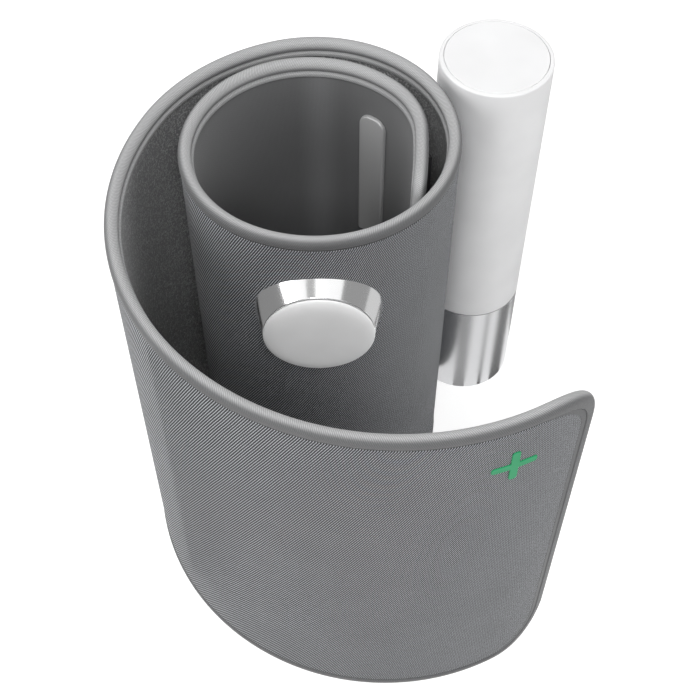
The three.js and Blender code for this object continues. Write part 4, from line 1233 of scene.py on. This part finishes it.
class MONITOR_OT_sensor_head(bpy.types.Operator):
    """Makes the polished ring, the cap and the parts that clamp them through the wall"""

    bl_idname = "monitor.sensor_head"
    bl_label = "Sensor head"

    def execute(self, context):
        head = context.scene.monitor_head
        cavity = head.rim_radius - head.ring_wall
        self.ring(head, cavity)
        self.cap(head, cavity)
        clamp_back = -SURFACE - CLAMP_THICKNESS
        clamp = self.disc("clamp_disc", "dark", CLAMP_RADIUS, clamp_back, -SURFACE, 0.0004)
        bore_head(clamp)
        seat(clamp, "monitor", "sensor_clamp_plate")
        top = clamp_back - 0.0003
        skin = self.disc("listening_skin", "rubber", SKIN_RADIUS, top - SKIN_THICKNESS, top, 0.0003)
        seat(skin, "monitor", "sensor_diaphragm")
        return {"FINISHED"}

    def ring(self, head, cavity):
        """The flared ring, whose foot follows the wall's curve."""
        under, floor = 0.00178, 0.0034
        profile = [
            (0.0, floor),
            (cavity, floor),
            (cavity, head.ring_front),
            (head.rim_radius, head.ring_front),
            *[(head.foot_radius * k / 5, under) for k in range(5, 0, -1)],
            (0.0, under),
        ]
        bm = lathe(profile)
        soften(bm, RING_EDGE, head.ring_front, beyond=cavity + 1e-4, segments=3)
        reach = HEAD_TURN_RADIUS + under
        for vert in bm.verts:
            if vert.co.z < under + 1e-5:
                vert.co.z -= reach - math.sqrt(reach * reach - vert.co.x * vert.co.x)
        bmesh.ops.transform(bm, matrix=HEAD_PLACE, verts=bm.verts)
        ring = make_piece(bm, "head_ring", "chrome")
        bore_head(ring)
        crisp(ring)
        seat(ring, "monitor", "sensor_ring")

    def cap(self, head, cavity):
        """The cap, with a spigot behind it and a soft edge: a quarter of an ellipse from side to face."""
        back = head.cap_face - CAP_THICKNESS
        spigot, spigot_wall, spigot_length = cavity - 0.0003, 0.0009, 0.0011
        start = head.rim_radius - head.cap_fall
        turns = [math.pi / 2 * i / 12 for i in range(13)]
        profile = [
            (0.0, back),
            (spigot - spigot_wall, back),
            (spigot - spigot_wall, back - spigot_length),
            (spigot, back - spigot_length),
            (spigot, back),
            (head.rim_radius - 0.0002, back),
            *[
                (start + head.cap_fall * math.cos(a), head.cap_face - head.cap_edge * (1 - math.sin(a)))
                for a in turns
            ],
            (0.0, head.cap_face),
        ]
        bm = lathe(profile)
        bmesh.ops.transform(bm, matrix=HEAD_PLACE, verts=bm.verts)
        cap = make_piece(bm, "head_cap", "cap")
        crisp(cap)
        seat(cap, "monitor", "sensor_cap")

    def disc(self, name, look, radius, back, front, edge):
        """A disc that follows the wall's curve."""
        bm = bmesh.new()
        bmesh.ops.create_circle(bm, cap_ends=True, segments=96, radius=radius)
        bmesh.ops.translate(bm, vec=(SENSOR_STATION, SENSOR_HEIGHT, 0), verts=bm.verts)
        thicken(bm, back, front)
        soften(bm, edge, back, segments=3)
        slice_and_roll(bm, DISC_STRIP)
        return make_piece(bm, name, look)


# Tube


def stand(bm, name, look, body, node, bores=()):
    """Makes a turned piece on the tube's axis and seats it."""
    bmesh.ops.translate(bm, vec=(TUBE_AXIS.x, TUBE_AXIS.y, 0), verts=bm.verts)
    piece = make_piece(bm, name, look)
    if bores:
        bore(piece, bores, depth=0.03)
    crisp(piece)
    seat(piece, body, node)


class MONITOR_OT_tube(bpy.types.Operator):
    """Makes the white shell, the power button and the polished band"""

    bl_idname = "monitor.tube"
    bl_label = "Tube, button and band"

    def execute(self, context):
        tube = context.scene.monitor_tube
        top = CUFF_HEIGHT
        hole = TUBE_RADIUS - tube.rim
        self.shell(tube, top, hole)

        inner = TUBE_RADIUS - tube.band_wall
        height = tube.band_height
        bm = lathe([(inner, 0.0), (TUBE_RADIUS, 0.0), (TUBE_RADIUS, height), (inner, height)])
        soften(bm, 0.00014)
        stand(bm, "tube_band", "band", "monitor", "electrode_sleeve")

        radius = hole - BUTTON_CLEARANCE
        back = top - BUTTON_THICKNESS
        stem = [(0.0, STEM_FOOT), (STEM_RADIUS, STEM_FOOT), (STEM_RADIUS, back)]
        bm = lathe([*stem, (radius, back), (radius, top), (0.0, top)])
        soften(bm, tube.button_edge, top, beyond=0.01, segments=4)
        stand(bm, "tube_button", "white", "button", "power_button")
        return {"FINISHED"}

    def shell(self, tube, top, hole):
        """The white shell, stepped in behind the band and open at its top for the button."""
        bottom = 0.0020
        inner = TUBE_RADIUS - tube.wall
        core = TUBE_RADIUS - tube.band_wall - BAND_GAP
        step = tube.band_height + tube.band_seam
        ledge = top - BUTTON_THICKNESS - BUTTON_ROOM
        profile = [
            (inner, bottom),
            (core, bottom),
            (core, step),
            (TUBE_RADIUS, step),
            (TUBE_RADIUS, top),
            (hole, top),
            (hole, ledge),
            (inner, ledge),
        ]
        bm = lathe(profile)
        soften(bm, tube.rim_edge, top, beyond=hole + 1e-4, segments=4)
        soften(bm, 0.0001, top, within=hole + 1e-5)
        soften(bm, 0.00015, step, beyond=core + 1e-4)
        holes = tube_bores(TUBE_SCREW_HEIGHTS)
        stand(bm, "tube_shell", "white", "monitor", "tube_housing", holes)


class MONITOR_OT_kept_parts(bpy.types.Operator):
    """Gives the saddle, the fixings and the inner works their finishes"""

    bl_idname = "monitor.kept_parts"
    bl_label = "Saddle, fixings and inner works"

    def execute(self, context):
        for look, names in KEPT_PARTS.items():
            for name in names.split():
                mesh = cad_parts[name].data
                mesh.materials.clear()
                mesh.materials.append(finish(look))
        return {"FINISHED"}


# Stage

# Softboxes, aimed at the object's middle: place, width, height, and whether polished metal sees them
SOFT_BOXES = {
    "key": ((-0.35, -0.85, 0.62), 0.8, 0.8, False),
    "left": ((-0.88, -0.16, 0.60), 0.7, 0.6, True),
    "front": ((0.0, -0.78, 1.12), 0.5, 0.5, True),
    "right": ((0.85, -0.32, 0.58), 0.7, 0.6, False),
    "back": ((0.30, 0.80, 0.90), 0.7, 0.6, False),
}
LAMP_AIM = Vector((0.0, 0.0, 0.08))
# Flags in the sensor head's sky: grey, bearings from the front and heights, in degrees
SKY_FLAGS = {"left": (0.36, (-54, -16), (61, 76)), "right": (0.30, (55, 110), (-6, 41))}
# Flags on the table round the tube: grey, and where each starts and ends round the band, in degrees
TABLE_FLAGS = ((0.40, -13.0, 1.0), (0.22, 18.0, 22.5), (0.20, 35.0, 55.0))


def bearing(degrees, rise=0.0):
    """A direction from its bearing, anticlockwise from the front, and its height."""
    flat, up = math.radians(degrees), math.radians(rise)
    return Vector((math.sin(flat) * math.cos(up), -math.cos(flat) * math.cos(up), math.sin(up)))


def seen(net):
    """One for the rays that show the stage to the camera, and nought for those that light the object."""
    rays = net.add("LightPath").outputs
    most = net.math("MAXIMUM", rays["Is Camera Ray"], rays["Is Glossy Ray"])
    return net.math("MAXIMUM", most, rays["Is Transmission Ray"])


def bare_material(name):
    """A material without a shader, its net and the socket that its shader goes into."""
    material = bpy.data.materials.new(name)
    material.use_nodes = True
    nodes = material.node_tree.nodes
    nodes.remove(nodes["Principled BSDF"])
    return material, Net(material.node_tree), nodes["Material Output"].inputs["Surface"]


def glow(net, level):
    return net.add("Emission", {"Color": (1, 1, 1, 1), "Strength": level}).outputs[0]


def flag(name, grey, points):
    """A grey sheet that only polished metal sees, so that its reflections have contrast."""
    bm = bmesh.new()
    bm.faces.new([bm.verts.new(point) for point in points])
    sheet = add_object(bm, name)
    material, net, surface = bare_material(name)
    net.feed(surface, glow(net, grey))
    sheet.data.materials.append(material)
    for ray in ("camera", "diffuse", "transmission", "volume_scatter", "shadow"):
        setattr(sheet, f"visible_{ray}", False)


class MONITOR_OT_stage(bpy.types.Operator):
    """Sets the floor, the backdrop, the lamps and the camera"""

    bl_idname = "monitor.stage"
    bl_label = "Stage"

    def execute(self, context):
        stage = context.scene.monitor_stage
        self.floor()
        self.studio(context.scene, stage)
        for name, recipe in SOFT_BOXES.items():
            self.soft_box(f"{name}_softbox", *recipe, getattr(stage, f"{name}_lamp"))
        self.flags()
        self.camera(context.scene, stage)
        context.scene.view_settings.view_transform = "Standard"
        return {"FINISHED"}

    def floor(self):
        """The table, seen white and whiter further off, that still takes the object's shadow."""
        bm = bmesh.new()
        bmesh.ops.create_circle(bm, cap_ends=True, segments=64, radius=6.0)
        bmesh.ops.translate(bm, vec=(0, 0, -0.0002), verts=bm.verts)
        floor = add_object(bm, "studio_floor")
        material, net, surface = bare_material("Studio floor")
        matt = net.add("BsdfDiffuse", {"Color": (0.50, 0.50, 0.50, 1)}).outputs[0]
        away = net.add("VectorMath", {"Vector": net.place("Object")}, operation="LENGTH").outputs["Value"]
        level = net.times(seen(net), net.remap(away, 0.4, 1.6, 0.72, 1.0))
        total = net.add("AddShader", {0: matt, 1: glow(net, level)})
        net.feed(surface, total.outputs[0])
        floor.data.materials.append(material)

    def studio(self, scene, stage):
        """A white backdrop, whose light on the object is even in front and stronger from behind."""
        world = bpy.data.worlds.new("Studio")
        scene.world = world
        world.use_nodes = True
        net = Net(world.node_tree)
        background = world.node_tree.nodes["Background"]
        behind = net.part(net.place("Generated"), 1)
        even = net.remap(behind, 0.0, 1.0, stage.ambient, stage.back_light)
        net.feed(background.inputs["Strength"], net.blend(seen(net), even, 1.0))
        background.inputs["Color"].default_value = (1, 1, 1, 1)

    def soft_box(self, name, place, width, height, glossy, watts):
        lamp = bpy.data.lights.new(name, "AREA")
        lamp.shape = "RECTANGLE"
        lamp.size = width
        lamp.size_y = height
        lamp.energy = watts
        lamp.use_shadow = True
        box = bpy.data.objects.new(name, lamp)
        bpy.context.scene.collection.objects.link(box)
        turn = (LAMP_AIM - Vector(place)).to_track_quat("-Z", "Y").to_matrix().to_4x4()
        box.matrix_world = Matrix.Translation(place) @ turn
        box.visible_glossy = glossy

    def flags(self):
        head = on_cuff(SENSOR_STATION, SENSOR_HEIGHT, 0.006)
        for side, (grey, (left, right), (low, high)) in SKY_FLAGS.items():
            corners = ((left, low), (right, low), (right, high), (left, high))
            flag(f"flag_sky_{side}", grey, [head + bearing(*corner) * 0.6 for corner in corners])
        left, back, front = head.x - 0.047, head.y + 0.022, head.y - 0.058
        low, high = 0.02, 0.155
        points = [(left, front, low), (left, back, low), (left, back, high), (left, front, high)]
        flag("flag_inside", 0.235, points)
        left, right, front, back = head.x + 0.13, head.x + 1.40, head.y - 0.15, head.y + 0.45
        low = 0.0003
        points = [(left, front, low), (right, front, low), (right, back, low), (left, back, low)]
        flag("flag_floor_right", 0.60, points)
        foot = Vector((TUBE_AXIS.x, TUBE_AXIS.y, 0.0002))
        for side in range(3):
            turn = side * 120.0
            for i, (grey, *ends) in enumerate(TABLE_FLAGS):
                near = [foot + bearing(end + turn) * (TUBE_RADIUS + 0.0001) for end in ends]
                far = [p + bearing(2 * end + 9 + turn) * 0.07 for p, end in zip(near, ends)]
                flag(f"flag_table_{side}_{i}", grey, [near[0], far[0], far[1], near[1]])

    def camera(self, scene, stage):
        data = bpy.data.cameras.new("Camera")
        data.lens = stage.camera_lens
        data.sensor_width = 36.0
        data.sensor_fit = "HORIZONTAL"
        data.clip_start = 0.01
        camera = bpy.data.objects.new("Camera", data)
        scene.collection.objects.link(camera)
        dip, roll = stage.camera_dip, stage.camera_roll
        up = Vector((0, math.sin(dip), math.cos(dip)))
        ahead = Vector((0, math.cos(dip), -math.sin(dip)))
        right = Vector((1, 0, 0))
        side = math.cos(roll) * right + math.sin(roll) * up
        top = math.cos(roll) * up - math.sin(roll) * right
        axes = Matrix((side, top, -ahead)).transposed().to_4x4()
        place = (TUBE_AXIS.x - stage.camera_left, TUBE_AXIS.y - stage.camera_back, stage.camera_height)
        camera.matrix_world = Matrix.Translation(place) @ axes
        scene.camera = camera


# Add-on


class MONITOR_PT_pieces(bpy.types.Panel):
    """Lists the monitor's pieces and the stage"""

    bl_idname = "MONITOR_PT_pieces"
    bl_label = "Blood Pressure Monitor"
    bl_space_type = "VIEW_3D"
    bl_region_type = "UI"
    bl_category = "Monitor"

    def draw(self, context):
        for step in STEPS:
            self.layout.operator(step.bl_idname)
        for key in SETTINGS:
            group = getattr(context.scene, key)
            box = self.layout.box()
            for name in group.bl_rna.properties.keys():
                if name not in ("rna_type", "name"):
                    box.prop(group, name)


STEPS = (
    MONITOR_OT_outer_twill,
    MONITOR_OT_lining,
    MONITOR_OT_edge_tape,
    MONITOR_OT_inner_layers,
    MONITOR_OT_arm_electrode,
    MONITOR_OT_flap_trim,
    MONITOR_OT_sensor_head,
    MONITOR_OT_tube,
    MONITOR_OT_kept_parts,
    MONITOR_OT_stage,
)
CLASSES = (*SETTINGS.values(), *STEPS, MONITOR_PT_pieces)


def register():
    for cls in CLASSES:
        bpy.utils.register_class(cls)
    for key, group in SETTINGS.items():
        setattr(bpy.types.Scene, key, PointerProperty(type=group))


def unregister():
    for key in SETTINGS:
        delattr(bpy.types.Scene, key)
    for cls in reversed(CLASSES):
        bpy.utils.unregister_class(cls)


def main():
    register()
    bpy.ops.monitor.outer_twill()
    bpy.ops.monitor.lining()
    bpy.ops.monitor.edge_tape()
    bpy.ops.monitor.inner_layers()
    bpy.ops.monitor.arm_electrode()
    bpy.ops.monitor.flap_trim()
    bpy.ops.monitor.sensor_head()
    bpy.ops.monitor.tube()
    bpy.ops.monitor.kept_parts()
    bpy.ops.monitor.stage()


if __name__ == "__main__":
    main()
